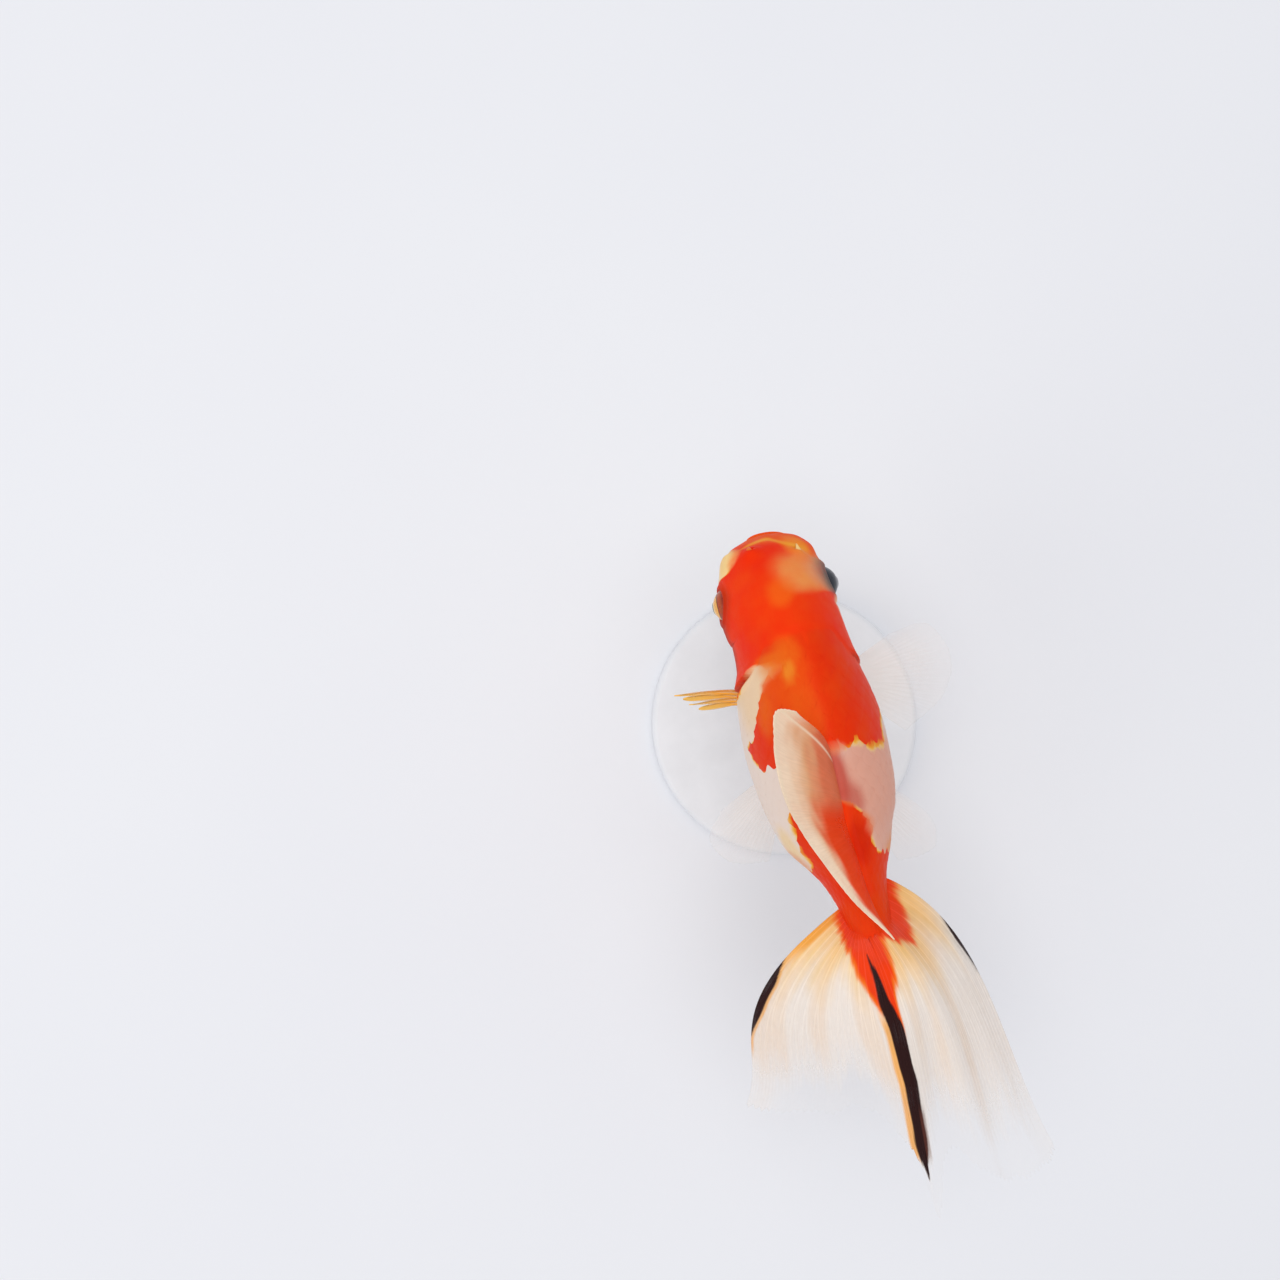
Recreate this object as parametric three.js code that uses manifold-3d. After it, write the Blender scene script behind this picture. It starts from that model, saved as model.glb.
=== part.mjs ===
// A fancy goldfish of the twin-tailed fantail kind, life size, as a still museum
// model: it glides with its nose a little down, its dorsal fin leans to its left and
// its tail is spread, and a rod rising from a round base holds it.
//
// Units are millimetres and +Z is up. The fish heads toward -Y, so its left is +X.
// The origin is the centre of the underside of the stand's base.
//
// The body is one loft along a spine, parted by thin cuts. "Station" is the distance
// back from the tip of the snout along that spine.

import * as THREE from 'three';
import { mergeVertices } from 'three/addons/utils/BufferGeometryUtils.js';
import Module from 'manifold-3d';

const wasm = await Module();
wasm.setup();

// ---------------------------------------------------------------- driving dimensions

const STANDARD_LENGTH = 65;          // snout to the end of the tail stalk
const GAP = 0.35;                    // air left between neighbouring pieces
const BODY_SIDES = 28;               // corners of one section of the body

const POSE = {
  snoutY: -33.2,                     // tip of the snout
  balanceStation: 33.4,              // station about which the fish is pitched
  balanceHeight: 46,                 // height of the spine there
  noseDown: THREE.MathUtils.degToRad(10),
};

// Sections of the body: heights above and below the spine, height of the widest
// line, and half width there; shift is the spine's sideways bend.
const SECTIONS = [
  { station: 0, top: 0, wide: 0, bottom: 0, half: 0, shift: -1 },
  { station: 1.2, top: 3.4, wide: 0.1, bottom: -2.9, half: 5, shift: -0.9 },
  { station: 3, top: 6.1, wide: 0.3, bottom: -5, half: 7, shift: -0.7 },
  { station: 6, top: 9.2, wide: 0.6, bottom: -7.7, half: 8.25, shift: -0.1 },
  { station: 10.1, top: 12.1, wide: 0.8, bottom: -10.5, half: 8.8, shift: 0.2 },
  { station: 12.8, top: 13.5, wide: 0.5, bottom: -12.2, half: 9.05, shift: 0.3 },
  { station: 16.2, top: 14.9, wide: 0, bottom: -13.9, half: 8.85, shift: -0.05 },
  { station: 20.3, top: 16.3, wide: -1.2, bottom: -15.7, half: 9.1, shift: -0.15 },
  { station: 26.3, top: 17.7, wide: -2.4, bottom: -17.3, half: 10.4, shift: 0.1 },
  { station: 33.4, top: 18.1, wide: -3, bottom: -18.6, half: 11.1, shift: -0.05 },
  { station: 40.5, top: 16.8, wide: -2.8, bottom: -18, half: 10.65, shift: -0.05 },
  { station: 46.6, top: 14.1, wide: -2, bottom: -15.3, half: 9.4, shift: 0.05 },
  { station: 51.7, top: 10.9, wide: -1, bottom: -11.3, half: 7, shift: -0.3 },
  { station: 55.7, top: 8.5, wide: 0, bottom: -8, half: 4.9, shift: -0.45 },
  { station: 59.8, top: 6.6, wide: 0, bottom: -6, half: 3.8, shift: -0.65 },
  { station: 65, top: 5.6, wide: 0, bottom: -5.2, half: 3.1, shift: -0.9 },
];

// Power on the cosine of a section's angle: over 1 slims it, under 1 fills it out.
const FULLNESS = { above: 1.12, below: 0.94 };

const CUTS = { head: 24, trunk: 51.7 };           // stations where the body is parted

const EYE_RADIUS = 3;
const BALL_SIDES = 18;               // corners round an eyeball and its socket
const EYES = [
  { name: 'left', side: 1, place: [10.4, 7.1, 1.8] },       // station, out, up
  { name: 'right', side: -1, place: [10, -6.9, 2.3] },
];
const MOUTH = { corner: 4.2, cornerDrop: 2.2, tipDrop: 0.7, halfWidth: 3.8 };
const NARES = { radius: 1.8, station: 4.6, turn: 1.05, sunk: 0.6 };
const GILL_COVER = { station: 18.7, halfLength: 4.6, turn: -0.12, halfTurn: 0.62, thick: 0.9, proud: 0.2 };

const FIN = {
  rootThick: 1.0, rimThick: 0.55,
  bowScale: 6.75,                    // makes a bow 1 high where it is highest
  foldSlant: 1.5,                    // how far the folds shift from root to margin
};

const STAND = {
  radius: 25, height: 4.5, edge: 1.2,
  rodRadius: 1.5, seatDepth: 3, holeDepth: 8,
};

// ---------------------------------------------------------------- finishes

/** A plain painted finish. */
function finish(color, roughness = 0.45, metalness = 0) {
  return new THREE.MeshStandardMaterial({ color, roughness, metalness });
}

const FINISH = {
  scarlet: finish(0xd8401c),
  blush: finish(0xdcae9c),
  finCream: finish(0xe8dccb),
  finAmber: finish(0xe6a93e),
  eye: finish(0x17171c, 0.1),
  standWhite: finish(0xe9e7e2, 0.5),
  rod: finish(0xb8babd, 0.3, 1),
};

// ---------------------------------------------------------------- curves

/**
 * Monotone cubic curve through (x, y) pairs.
 * @param {number[]} xs rising positions
 * @param {number[]} ys values there
 * @returns {(x: number) => number}
 */
function smoothCurve(xs, ys) {
  const slopes = xs.slice(1).map((x, i) => (ys[i + 1] - ys[i]) / (x - xs[i]));
  const tangents = xs.map((x, i) => {
    if (i === 0) return slopes[0];
    if (i === slopes.length) return slopes[i - 1];
    const [a, b] = [slopes[i - 1], slopes[i]];
    return a * b <= 0 ? 0 : (2 * a * b) / (a + b);
  });
  return (x) => {
    const upper = xs.findIndex((edge, i) => i > 0 && x <= edge);
    const i = upper < 0 ? xs.length - 2 : upper - 1;
    const width = xs[i + 1] - xs[i];
    const t = THREE.MathUtils.clamp((x - xs[i]) / width, 0, 1);
    const [t2, t3] = [t * t, t * t * t];
    return (2 * t3 - 3 * t2 + 1) * ys[i] + (t3 - 2 * t2 + t) * width * tangents[i]
      + (3 * t2 - 2 * t3) * ys[i + 1] + (t3 - t2) * width * tangents[i + 1];
  };
}

/** A section measure as a function of station; the square root rounds the snout. */
function sectionCurve(key) {
  const curve = smoothCurve(SECTIONS.map((s) => Math.sqrt(s.station)), SECTIONS.map((s) => s[key]));
  return (station) => curve(Math.sqrt(Math.max(station, 0)));
}

const SECTION = {
  top: sectionCurve('top'), wide: sectionCurve('wide'), bottom: sectionCurve('bottom'),
  half: sectionCurve('half'), shift: sectionCurve('shift'),
};

// ---------------------------------------------------------------- the body's surface

/** Point of the spine at a station. */
function spinePoint(station) {
  const { snoutY, balanceStation, balanceHeight, noseDown } = POSE;
  return new THREE.Vector3(
    SECTION.shift(station),
    snoutY + station * Math.cos(noseDown),
    balanceHeight + (station - balanceStation) * Math.sin(noseDown),
  );
}

/** Point placed by its station, its distance out to the left and its height. */
function bodyPlace(station, out, up) {
  const along = spinePoint(station + 0.5).sub(spinePoint(Math.max(station - 0.5, 0))).normalize();
  const side = new THREE.Vector3().crossVectors(along, new THREE.Vector3(0, 0, 1)).normalize();
  const rise = new THREE.Vector3().crossVectors(side, along);
  return spinePoint(station).addScaledVector(side, out).addScaledVector(rise, up);
}

/**
 * Point of the skin.
 * @param {number} station distance back from the snout
 * @param {number} turn angle round the section: 0 on the left side, a quarter turn at the top
 * @param {number} grow distance outward from the skin
 */
function skinPoint(station, turn, grow = 0) {
  const [c, s] = [Math.cos(turn), Math.sin(turn)];
  const wide = SECTION.wide(station);
  const reach = s > 0 ? SECTION.top(station) - wide : wide - SECTION.bottom(station);
  const fullness = s > 0 ? FULLNESS.above : FULLNESS.below;
  const out = (SECTION.half(station) + grow) * Math.sign(c) * Math.abs(c) ** fullness;
  return bodyPlace(station, out, wide + (reach + grow) * s);
}

/** Height of the belly over the stand's rod. */
function bellyHeight() {
  return spinePoint(POSE.balanceStation).z + SECTION.bottom(POSE.balanceStation);
}

// ---------------------------------------------------------------- building solids

/** Signed volume of a closed triangle mesh. */
function signedVolume(points, index) {
  const triple = (a, b, c) => points[a].dot(new THREE.Vector3().crossVectors(points[b], points[c]));
  let sum = 0;
  for (let i = 0; i < index.length; i += 3) sum += triple(index[i], index[i + 1], index[i + 2]);
  return sum / 6;
}

/**
 * Closed solid through rings of points. Ends are closed by a fan, or by a strip that
 * joins each point of the end ring to its mirror point.
 * @param {THREE.Vector3[][]} rings equal rings
 * @param {'fan'|'strip'} ends
 */
function ringedSolid(rings, ends) {
  const count = rings[0].length;
  const points = rings.flat();
  const index = [];
  for (let row = 0; row + 1 < rings.length; row += 1) {
    for (let i = 0; i < count; i += 1) {
      const [a, b] = [row * count + i, row * count + ((i + 1) % count)];
      index.push(a, b, b + count, a, b + count, a + count);
    }
  }
  const capEnd = (first, flip) => {
    const push = (a, b, c) => index.push(...(flip ? [a, c, b] : [a, b, c]));
    if (ends === 'fan') {
      const centre = new THREE.Vector3();
      for (let i = 0; i < count; i += 1) centre.addScaledVector(points[first + i], 1 / count);
      points.push(centre);
      for (let i = 0; i < count; i += 1) push(points.length - 1, first + ((i + 1) % count), first + i);
      return;
    }
    for (let i = 0; i < count / 2 - 1; i += 1) {
      const [a, b, c, d] = [i, i + 1, count - 2 - i, count - 1 - i].map((k) => first + k);
      push(a, c, b);
      push(a, d, c);
    }
  };
  capEnd(0, false);
  capEnd((rings.length - 1) * count, true);
  if (signedVolume(points, index) < 0) {
    for (let i = 0; i < index.length; i += 3) [index[i + 1], index[i + 2]] = [index[i + 2], index[i + 1]];
  }
  const geometry = new THREE.BufferGeometry().setFromPoints(points);
  geometry.setIndex(index);
  return geometry;
}

/** Solid for joining and cutting, from a closed geometry. */
function toSolid(geometry) {
  const plain = geometry.clone();
  plain.deleteAttribute('normal');
  plain.deleteAttribute('uv');
  const merged = mergeVertices(plain, 1e-5);
  return new wasm.Manifold(new wasm.Mesh({
    numProp: 3,
    vertProperties: new Float32Array(merged.attributes.position.array),
    triVerts: new Uint32Array(merged.index.array),
  }));
}

/** Geometry of a solid that was joined or cut. */
function toGeometry(solid) {
  const mesh = solid.getMesh();
  const geometry = new THREE.BufferGeometry();
  geometry.setAttribute('position', new THREE.BufferAttribute(new Float32Array(mesh.vertProperties), 3));
  geometry.setIndex(new THREE.BufferAttribute(new Uint32Array(mesh.triVerts), 1));
  return geometry;
}

/** Evenly spread numbers from first to last. */
function spread(first, last, steps) {
  return Array.from({ length: steps + 1 }, (_, i) => first + ((last - first) * i) / steps);
}

/** A length of the body between two stations, grown outward by grow. */
function bodyLength(from, to, steps, grow = 0) {
  const roots = spread(Math.sqrt(from), Math.sqrt(to), steps);
  const rings = roots.map((root) => Array.from({ length: BODY_SIDES }, (_, i) => (
    skinPoint(root * root, (2 * Math.PI * i) / BODY_SIDES, grow))));
  return ringedSolid(rings, 'fan');
}

// ---------------------------------------------------------------- fins

/**
 * A fin's sheet: rays run from its root line to its margin line.
 * @param {object} fin root and margin curves; firstBend and lastBend, how far the first
 *   and the last ray bow out a third of the way along; ripple, the height of the folds
 *   at the margin along swell; folds, how many there are
 * @returns {(across: number, along: number) => THREE.Vector3}
 */
function finSurface(fin) {
  return (across, along) => {
    const root = fin.root.getPoint(across);
    const ray = fin.margin.getPoint(across).sub(root);
    const bend = fin.firstBend.clone().lerp(fin.lastBend, across);
    const bow = FIN.bowScale * along * (1 - along) ** 2;
    const fold = Math.sin(2 * Math.PI * fin.folds * across + along * FIN.foldSlant);
    const wave = Math.sin(Math.PI * across) * fold;
    return root.addScaledVector(ray, along).addScaledVector(bend, bow)
      .addScaledVector(fin.swell, fin.ripple * along * wave);
  };
}

/**
 * Closed solid of a part of a fin's sheet.
 * @param {(across: number, along: number) => THREE.Vector3} surface
 * @param {number} first share of the fan where the part starts
 * @param {number} last share of the fan where it ends
 * @param {number} acrossSteps
 * @param {number} alongSteps
 */
function finSolid(surface, first, last, acrossSteps, alongSteps) {
  const step = 1e-3;
  const rings = spread(0, 1, alongSteps).map((along) => {
    const edgeToEdge = surface(0, along).distanceTo(surface(1, along));
    const inset = GAP / 2 / Math.max(edgeToEdge, 1);
    const low = first === 0 ? 0 : first + inset;
    const high = last === 1 ? 1 : last - inset;
    const half = THREE.MathUtils.lerp(FIN.rootThick, FIN.rimThick, along) / 2;
    const [front, back] = [[], []];
    for (const across of spread(low, high, acrossSteps)) {
      const point = surface(across, along);
      const sideways = surface(Math.min(across + step, 1), along)
        .sub(surface(Math.max(across - step, 0), along));
      const lengthways = surface(across, along + step).sub(surface(across, along - step));
      const normal = sideways.cross(lengthways).normalize();
      front.push(point.clone().addScaledVector(normal, half));
      back.unshift(point.clone().addScaledVector(normal, -half));
    }
    return [...front, ...back];
  });
  return ringedSolid(rings, 'strip');
}

/** Smooth curve through points given as [x, y, z]. */
function curveThrough(...places) {
  return new THREE.CatmullRomCurve3(places.map((p) => new THREE.Vector3(...p)), false, 'centripetal');
}

/** Curve along the body's skin, through [station, turn] pairs and grown by grow. */
function skinCurve(grow, ...pairs) {
  return new THREE.CatmullRomCurve3(pairs.map(([station, turn]) => skinPoint(station, turn, grow)));
}

const UP_TURN = Math.PI / 2;
const DOWN_TURN = -Math.PI / 2;

const vector = (...xyz) => new THREE.Vector3(...xyz);

const DORSAL_FIN = {
  root: skinCurve(-0.6, [37, UP_TURN - 0.08], [41.5, UP_TURN - 0.07], [47, UP_TURN - 0.04],
    [53, UP_TURN], [58.5, UP_TURN]),
  margin: curveThrough([4.7, -7.4, 73.6], [7.4, -8.3, 74.2], [8.9, -3.5, 74.2], [8.6, 4.5, 71.5],
    [7, 11.5, 68], [3.9, 18.2, 64], [0.6, 24.4, 61.6], [-2.6, 29.4, 60.4]),
  firstBend: vector(-0.2, -1.1, 1.3), lastBend: vector(0, 0.6, 0.6),
  swell: vector(1, 0, 0), ripple: 0.3, folds: 2.5,
};

const TAIL_LEFT = {
  root: skinCurve(-0.35, [63.2, 0.85], [63.3, 0.6], [62.6, 0.2], [59.5, -0.35]),
  margin: curveThrough([0.1, 77.8, 47], [1.6, 64.4, 50], [6.4, 57.2, 48.4], [12.6, 58.4, 42.6],
    [19, 59.8, 35.6], [25.1, 59.6, 30]),
  firstBend: vector(-1, 0, 2.4), lastBend: vector(7.9, -0.5, 3),
  swell: vector(0.25, 0, 0.97), ripple: 0.9, folds: 2,
};

const TAIL_RIGHT = {
  root: skinCurve(-0.35, [63.2, 1.25], [63.4, 1.8], [62.6, 2.7], [56.6, Math.PI + 0.3]),
  margin: curveThrough([-1.1, 78, 47], [-5.4, 67.8, 46.4], [-10.6, 74.4, 41.8], [-15.8, 79.8, 37],
    [-20.4, 79.8, 34], [-24.6, 78.6, 31.4]),
  firstBend: vector(-1, 0, 2.4), lastBend: vector(-3.8, -4.2, 3),
  swell: vector(-0.25, 0, 0.97), ripple: 0.9, folds: 2.5,
};

const PECTORAL_LEFT = {
  root: skinCurve(-0.5, [23.2, -0.55], [24.2, -0.64], [25, -0.75]),
  margin: curveThrough([20.2, -12.1, 38.6], [18.4, -10.7, 35.2], [17.2, -9.1, 31.6], [15.1, -7.3, 28.6]),
  firstBend: vector(0, -0.4, 0.8), lastBend: vector(0, -0.4, 0.8),
  swell: vector(0, 1, 0), ripple: 0.3, folds: 2,
};

const PECTORAL_RIGHT = {
  root: skinCurve(-0.5, [23.2, Math.PI + 0.5], [24.2, Math.PI + 0.6], [25, Math.PI + 0.72]),
  margin: curveThrough([-16.8, -13, 37.6], [-23.4, -13.2, 36.6], [-26.4, -7.4, 35], [-24.6, -1, 33.2],
    [-16.8, 3.8, 31.8]),
  firstBend: vector(0, -0.4, 0.9), lastBend: vector(0, -0.4, 0.9),
  swell: vector(0, 0, 1), ripple: 0.4, folds: 2,
};

const PELVIC_LEFT = {
  root: skinCurve(-0.5, [35.5, -1.22], [37, -1.25], [38.5, -1.28]),
  margin: curveThrough([16.2, 9.8, 26.6], [19.6, 14.4, 26], [17, 19.4, 24.8], [10.4, 21, 24]),
  firstBend: vector(0.6, 0, -1.6), lastBend: vector(0.6, 0, -1.6),
  swell: vector(0, 0, 1), ripple: 0.3, folds: 2,
};

const PELVIC_RIGHT = {
  root: skinCurve(-0.5, [35.5, Math.PI + 1.22], [37, Math.PI + 1.25], [38.5, Math.PI + 1.28]),
  margin: curveThrough([-14.6, 14.6, 26.6], [-18.6, 20.2, 26], [-18.2, 25.4, 24.8], [-11.6, 26.4, 24]),
  firstBend: vector(-0.6, 0, -1.6), lastBend: vector(-0.6, 0, -1.6),
  swell: vector(0, 0, 1), ripple: 0.3, folds: 2,
};

/** An anal fin, of the pair that a twin-tailed fish has; side is 1 on the left. */
function analFin(side) {
  return {
    root: skinCurve(-0.5, [49.5, DOWN_TURN + side * 0.3], [52, DOWN_TURN + side * 0.33],
      [54.5, DOWN_TURN + side * 0.36]),
    margin: curveThrough([side * 3 - 1, 23.4, 28.6], [side * 3.4 - 1.4, 29, 29.4],
      [side * 2.8 - 1.4, 32.2, 33.4]),
    firstBend: vector(side * 0.6, 0.6, 0), lastBend: vector(side * 0.6, 0.6, 0),
    swell: vector(1, 0, 0), ripple: 0.25, folds: 1.5,
  };
}

// ---------------------------------------------------------------- sub-parts

const model = new THREE.Group();

/** Adds a named piece to a group. */
function addPiece(group, name, geometry, material) {
  const mesh = new THREE.Mesh(geometry, material);
  mesh.name = name;
  group.add(mesh);
  return mesh;
}

/** Ball with its centre at a point. */
function ballAt({ x, y, z }, radius, around) {
  return new THREE.SphereGeometry(radius, around, around * 0.6).translate(x, y, z);
}

/** A gill cover, or with a margin the larger space that it lies in. */
function gillCoverSolid(side, margin, outer) {
  const { station, halfLength, turn, halfTurn, thick } = GILL_COVER;
  const corners = 18;
  const middle = side > 0 ? turn : Math.PI - turn;
  const [length, wrap] = [halfLength + margin, halfTurn + margin / SECTION.half(station)];
  const ring = (share, grow) => Array.from({ length: corners }, (_, i) => {
    const around = (2 * Math.PI * i) / corners;
    const [c, s] = [Math.cos(around), Math.sin(around)];
    return skinPoint(station + length * share * c, middle + wrap * share * s, grow);
  });
  return ringedSolid([
    ring(0.5, outer), ring(0.85, outer), ring(1, margin > 0 ? outer : 0),
    ring(1, -thick - margin), ring(0.5, -thick - margin),
  ], 'fan');
}

/** Space of the lower jaw: round in plan, under the mouth line, larger all round by a margin. */
function jawSpace(margin) {
  const { corner, cornerDrop, tipDrop, halfWidth } = MOUTH;
  const tip = bodyPlace(0, 0, margin - tipDrop);
  const back = bodyPlace(corner + margin, 0, margin - cornerDrop);
  const [reach, depth] = [6, 16];
  const outline = new THREE.Shape([
    new THREE.Vector2(tip.y - reach, tip.z + (tip.z - back.z) * (reach / (back.y - tip.y))),
    new THREE.Vector2(tip.y - reach, back.z - depth),
    new THREE.Vector2(back.y, back.z - depth),
    new THREE.Vector2(back.y, back.z),
  ]);
  const wedge = new THREE.ExtrudeGeometry(outline, { depth: 2 * depth, bevelEnabled: false });
  wedge.translate(0, 0, -depth);
  wedge.applyMatrix4(new THREE.Matrix4().makeBasis(vector(0, 1, 0), vector(0, 0, 1), vector(1, 0, 0)));
  const round = new THREE.CylinderGeometry(halfWidth + margin, halfWidth + margin, 2 * depth, 20);
  round.rotateX(Math.PI / 2).translate(tip.x, back.y - margin - halfWidth, back.z);
  return toSolid(wedge).intersect(toSolid(round));
}

/** The head with its nostril flaps, jaw, eyes and gill covers. */
function buildHead() {
  let head = toSolid(bodyLength(0.01, CUTS.head, 12));
  for (const { name, side, place } of EYES) {
    const nareTurn = side > 0 ? NARES.turn : Math.PI - NARES.turn;
    head = head.add(toSolid(ballAt(skinPoint(NARES.station, nareTurn, -NARES.sunk), NARES.radius, 12)));
    const eyeCentre = bodyPlace(...place);
    head = head.subtract(toSolid(ballAt(eyeCentre, EYE_RADIUS + GAP, BALL_SIDES)));
    head = head.subtract(toSolid(gillCoverSolid(side, GAP, 2)));
    addPiece(model, `eye_${name}`, ballAt(eyeCentre, EYE_RADIUS, BALL_SIDES), FINISH.eye);
    const cover = gillCoverSolid(side, 0, GILL_COVER.proud);
    addPiece(model, `gill_cover_${name}`, cover, FINISH.scarlet);
  }
  addPiece(model, 'lower_jaw', toGeometry(head.intersect(jawSpace(0))), FINISH.scarlet);
  addPiece(model, 'head', toGeometry(head.subtract(jawSpace(GAP))), FINISH.scarlet);
}

/** The trunk, with the blind hole that takes the stand's rod, and the tail stalk. */
function buildTrunk() {
  const holeRadius = STAND.rodRadius + GAP;
  const hole = new THREE.CylinderGeometry(holeRadius, holeRadius, 2 * STAND.holeDepth, 20);
  hole.rotateX(Math.PI / 2).translate(0, 0, bellyHeight());
  const trunk = toSolid(bodyLength(CUTS.head + GAP, CUTS.trunk, 14)).subtract(toSolid(hole));
  addPiece(model, 'trunk', toGeometry(trunk), FINISH.blush);
  addPiece(model, 'tail_stalk', bodyLength(CUTS.trunk + GAP, STANDARD_LENGTH, 6), FINISH.scarlet);
}

/** All the fins, each trimmed where the body begins. */
function buildFins() {
  const body = toSolid(bodyLength(0.01, STANDARD_LENGTH + GAP, 40, GAP));
  const addFin = (name, fin, material, steps, range = [0, 1]) => {
    const solid = toSolid(finSolid(finSurface(fin), ...range, ...steps)).subtract(body);
    const pieces = solid.decompose().sort((a, b) => b.volume() - a.volume());
    addPiece(model, name, toGeometry(pieces[0]), material);
  };
  addFin('dorsal_fin', DORSAL_FIN, FINISH.finCream, [14, 7]);
  for (const [name, fin] of [['left', TAIL_LEFT], ['right', TAIL_RIGHT]]) {
    addFin(`tail_fin_${name}_upper`, fin, FINISH.finCream, [8, 11], [0, 0.5]);
    addFin(`tail_fin_${name}_lower`, fin, FINISH.finCream, [8, 11], [0.5, 1]);
  }
  addFin('pectoral_fin_left', PECTORAL_LEFT, FINISH.finAmber, [8, 5]);
  addFin('pectoral_fin_right', PECTORAL_RIGHT, FINISH.finCream, [10, 6]);
  addFin('pelvic_fin_left', PELVIC_LEFT, FINISH.finCream, [8, 6]);
  addFin('pelvic_fin_right', PELVIC_RIGHT, FINISH.finCream, [8, 6]);
  addFin('anal_fin_left', analFin(1), FINISH.finCream, [7, 5]);
  addFin('anal_fin_right', analFin(-1), FINISH.finCream, [7, 5]);
}

/** The stand: a round base with a seat for the rod, and the rod. */
function buildStand() {
  const { radius, height, edge, rodRadius, seatDepth, holeDepth } = STAND;
  const profile = [
    [0, 0], [radius, 0], [radius, height - edge],
    ...spread(0, Math.PI / 2, 3).slice(1).map((a) => (
      [radius - edge + edge * Math.cos(a), height - edge + edge * Math.sin(a)])),
    [rodRadius + GAP, height], [rodRadius + GAP, height - seatDepth], [0, height - seatDepth],
  ].map(([x, y]) => new THREE.Vector2(x, y));
  const base = new THREE.LatheGeometry(profile, 36).rotateX(Math.PI / 2);
  addPiece(model, 'stand_base', base, FINISH.standWhite);

  const foot = height - seatDepth + GAP;
  const tip = bellyHeight() + holeDepth - GAP;
  const rod = new THREE.CylinderGeometry(rodRadius, rodRadius, tip - foot, 20);
  rod.rotateX(Math.PI / 2).translate(0, 0, (tip + foot) / 2);
  addPiece(model, 'stand_rod', rod, FINISH.rod);
}

buildHead();
buildTrunk();
buildFins();
buildStand();

export default model;
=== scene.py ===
"""Looks of a life-size model goldfish on its display stand.

The fish is a twin-tailed fancy goldfish with scarlet, pearl and black-edged
markings. One skin covers head, trunk and tail stalk, a coat of overlapping scales
lies on it, and translucent fins on fine rays, two eyes and a plain stand complete
the piece. Sizes are in millimetres until a mesh is finished, then in metres. The
fish heads toward -Y, its left is +X and +Z is up.
"""

import logging
import math
import random
from dataclasses import dataclass
from enum import Enum
from functools import cache

import bmesh
import bpy
from mathutils import Matrix, Vector, kdtree, noise

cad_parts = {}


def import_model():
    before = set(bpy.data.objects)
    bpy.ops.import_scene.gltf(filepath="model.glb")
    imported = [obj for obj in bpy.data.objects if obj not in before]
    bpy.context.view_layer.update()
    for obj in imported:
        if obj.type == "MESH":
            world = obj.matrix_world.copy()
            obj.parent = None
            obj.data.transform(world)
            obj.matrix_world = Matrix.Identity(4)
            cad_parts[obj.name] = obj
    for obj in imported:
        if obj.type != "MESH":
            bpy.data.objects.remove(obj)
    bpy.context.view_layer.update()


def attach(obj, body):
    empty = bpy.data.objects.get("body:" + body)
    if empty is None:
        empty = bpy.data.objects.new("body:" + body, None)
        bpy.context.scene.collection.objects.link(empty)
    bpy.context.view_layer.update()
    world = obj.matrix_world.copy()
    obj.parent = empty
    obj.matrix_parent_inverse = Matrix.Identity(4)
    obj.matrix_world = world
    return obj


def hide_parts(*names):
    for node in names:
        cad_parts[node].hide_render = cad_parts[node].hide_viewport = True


MM = 0.001
LOG = logging.getLogger("goldfish")
Colour = tuple[float, float, float]
Tint = tuple[float, float, float, float]
PUPIL: Colour = (0.004, 0.004, 0.006)
# Each fork of a fin ray: where along the ray it starts and ends, and how far it parts.
FORKS = ((0.22, 0.6, 0.25), (0.55, 0.92, 0.125))
# On a fin's map: the margin round each half, and how far its rim reaches outward.
MAP_MARGIN = 0.01
MAP_RIM = 0.004


class Paint(Enum):
    """The fish's colours, and those of its painted shade, as sRGB hex."""

    SCARLET = 0xF12D07
    DEEP_SCARLET = 0xD92304
    ORANGE = 0xF5741A
    AMBER = 0xF7A832
    STRAW = 0xFAD185
    CREAM = 0xF6D2AA
    PEARL = 0xF4DDCD
    MAUVE = 0xEAA890
    # Painted shade: a dull rose for the shade beside the dorsal fin's root and behind the gill covers.
    ROSE = 0xC85040
    PEACH = 0xF0924C
    TAN = 0xDD9A72
    DUSK = 0x655854
    # Painted shade: a deep red-brown for the steep left flank, the left eye's rim and behind the gill
    # covers.
    RUST = 0x93280F
    INK = 0x2E1716
    BARK = 0x6B3424
    VEIL = 0xF8EDE2
    SALMON = 0xE4764E

    @property
    def linear(self) -> Colour:
        """The colour in linear light."""
        return linear_colour(self.value)

    @property
    def solid(self) -> Tint:
        """The colour in linear light, opaque."""
        return opaque(self.linear)


def linear_colour(code: int) -> Colour:
    """Turns an sRGB hex code into linear light.

    Args:
        code: the colour as 0xRRGGBB.

    Returns:
        Red, green and blue, each from 0 to 1.
    """
    shares = [((code >> shift) & 255) / 255 for shift in (16, 8, 0)]
    red, green, blue = (s / 12.92 if s <= 0.04045 else ((s + 0.055) / 1.055) ** 2.4 for s in shares)
    return red, green, blue


def opaque(colour: Colour) -> Tint:
    """A colour that hides what lies under it."""
    return (*colour, 1.0)


def ease(low: float, high: float, value: float) -> float:
    """Smooth step from 0 at low to 1 at high; low may be above high.

    Args:
        low: where the step starts.
        high: where the step ends.
        value: the place along it.

    Returns:
        A share from 0 to 1.
    """
    share = min(max((value - low) / (high - low), 0.0), 1.0)
    return share * share * (3 - 2 * share)


def inside(limit: float, value: float, blur: float) -> float:
    """1 where a value is under a limit and 0 where it is over, with a blur to both sides."""
    return ease(limit + blur, limit - blur, value)


def bell(value: float, width: float) -> float:
    """Height of a bell curve of that width, 1 at its middle."""
    return math.exp(-((value / width) ** 2))


def mingle(first: Colour, second: Colour, share: float) -> Colour:
    """Mixes two colours; share is how much of the second."""
    red, green, blue = (a + (b - a) * share for a, b in zip(first, second))
    return red, green, blue


# ---------------------------------------------------------------- curves and forms


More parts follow.
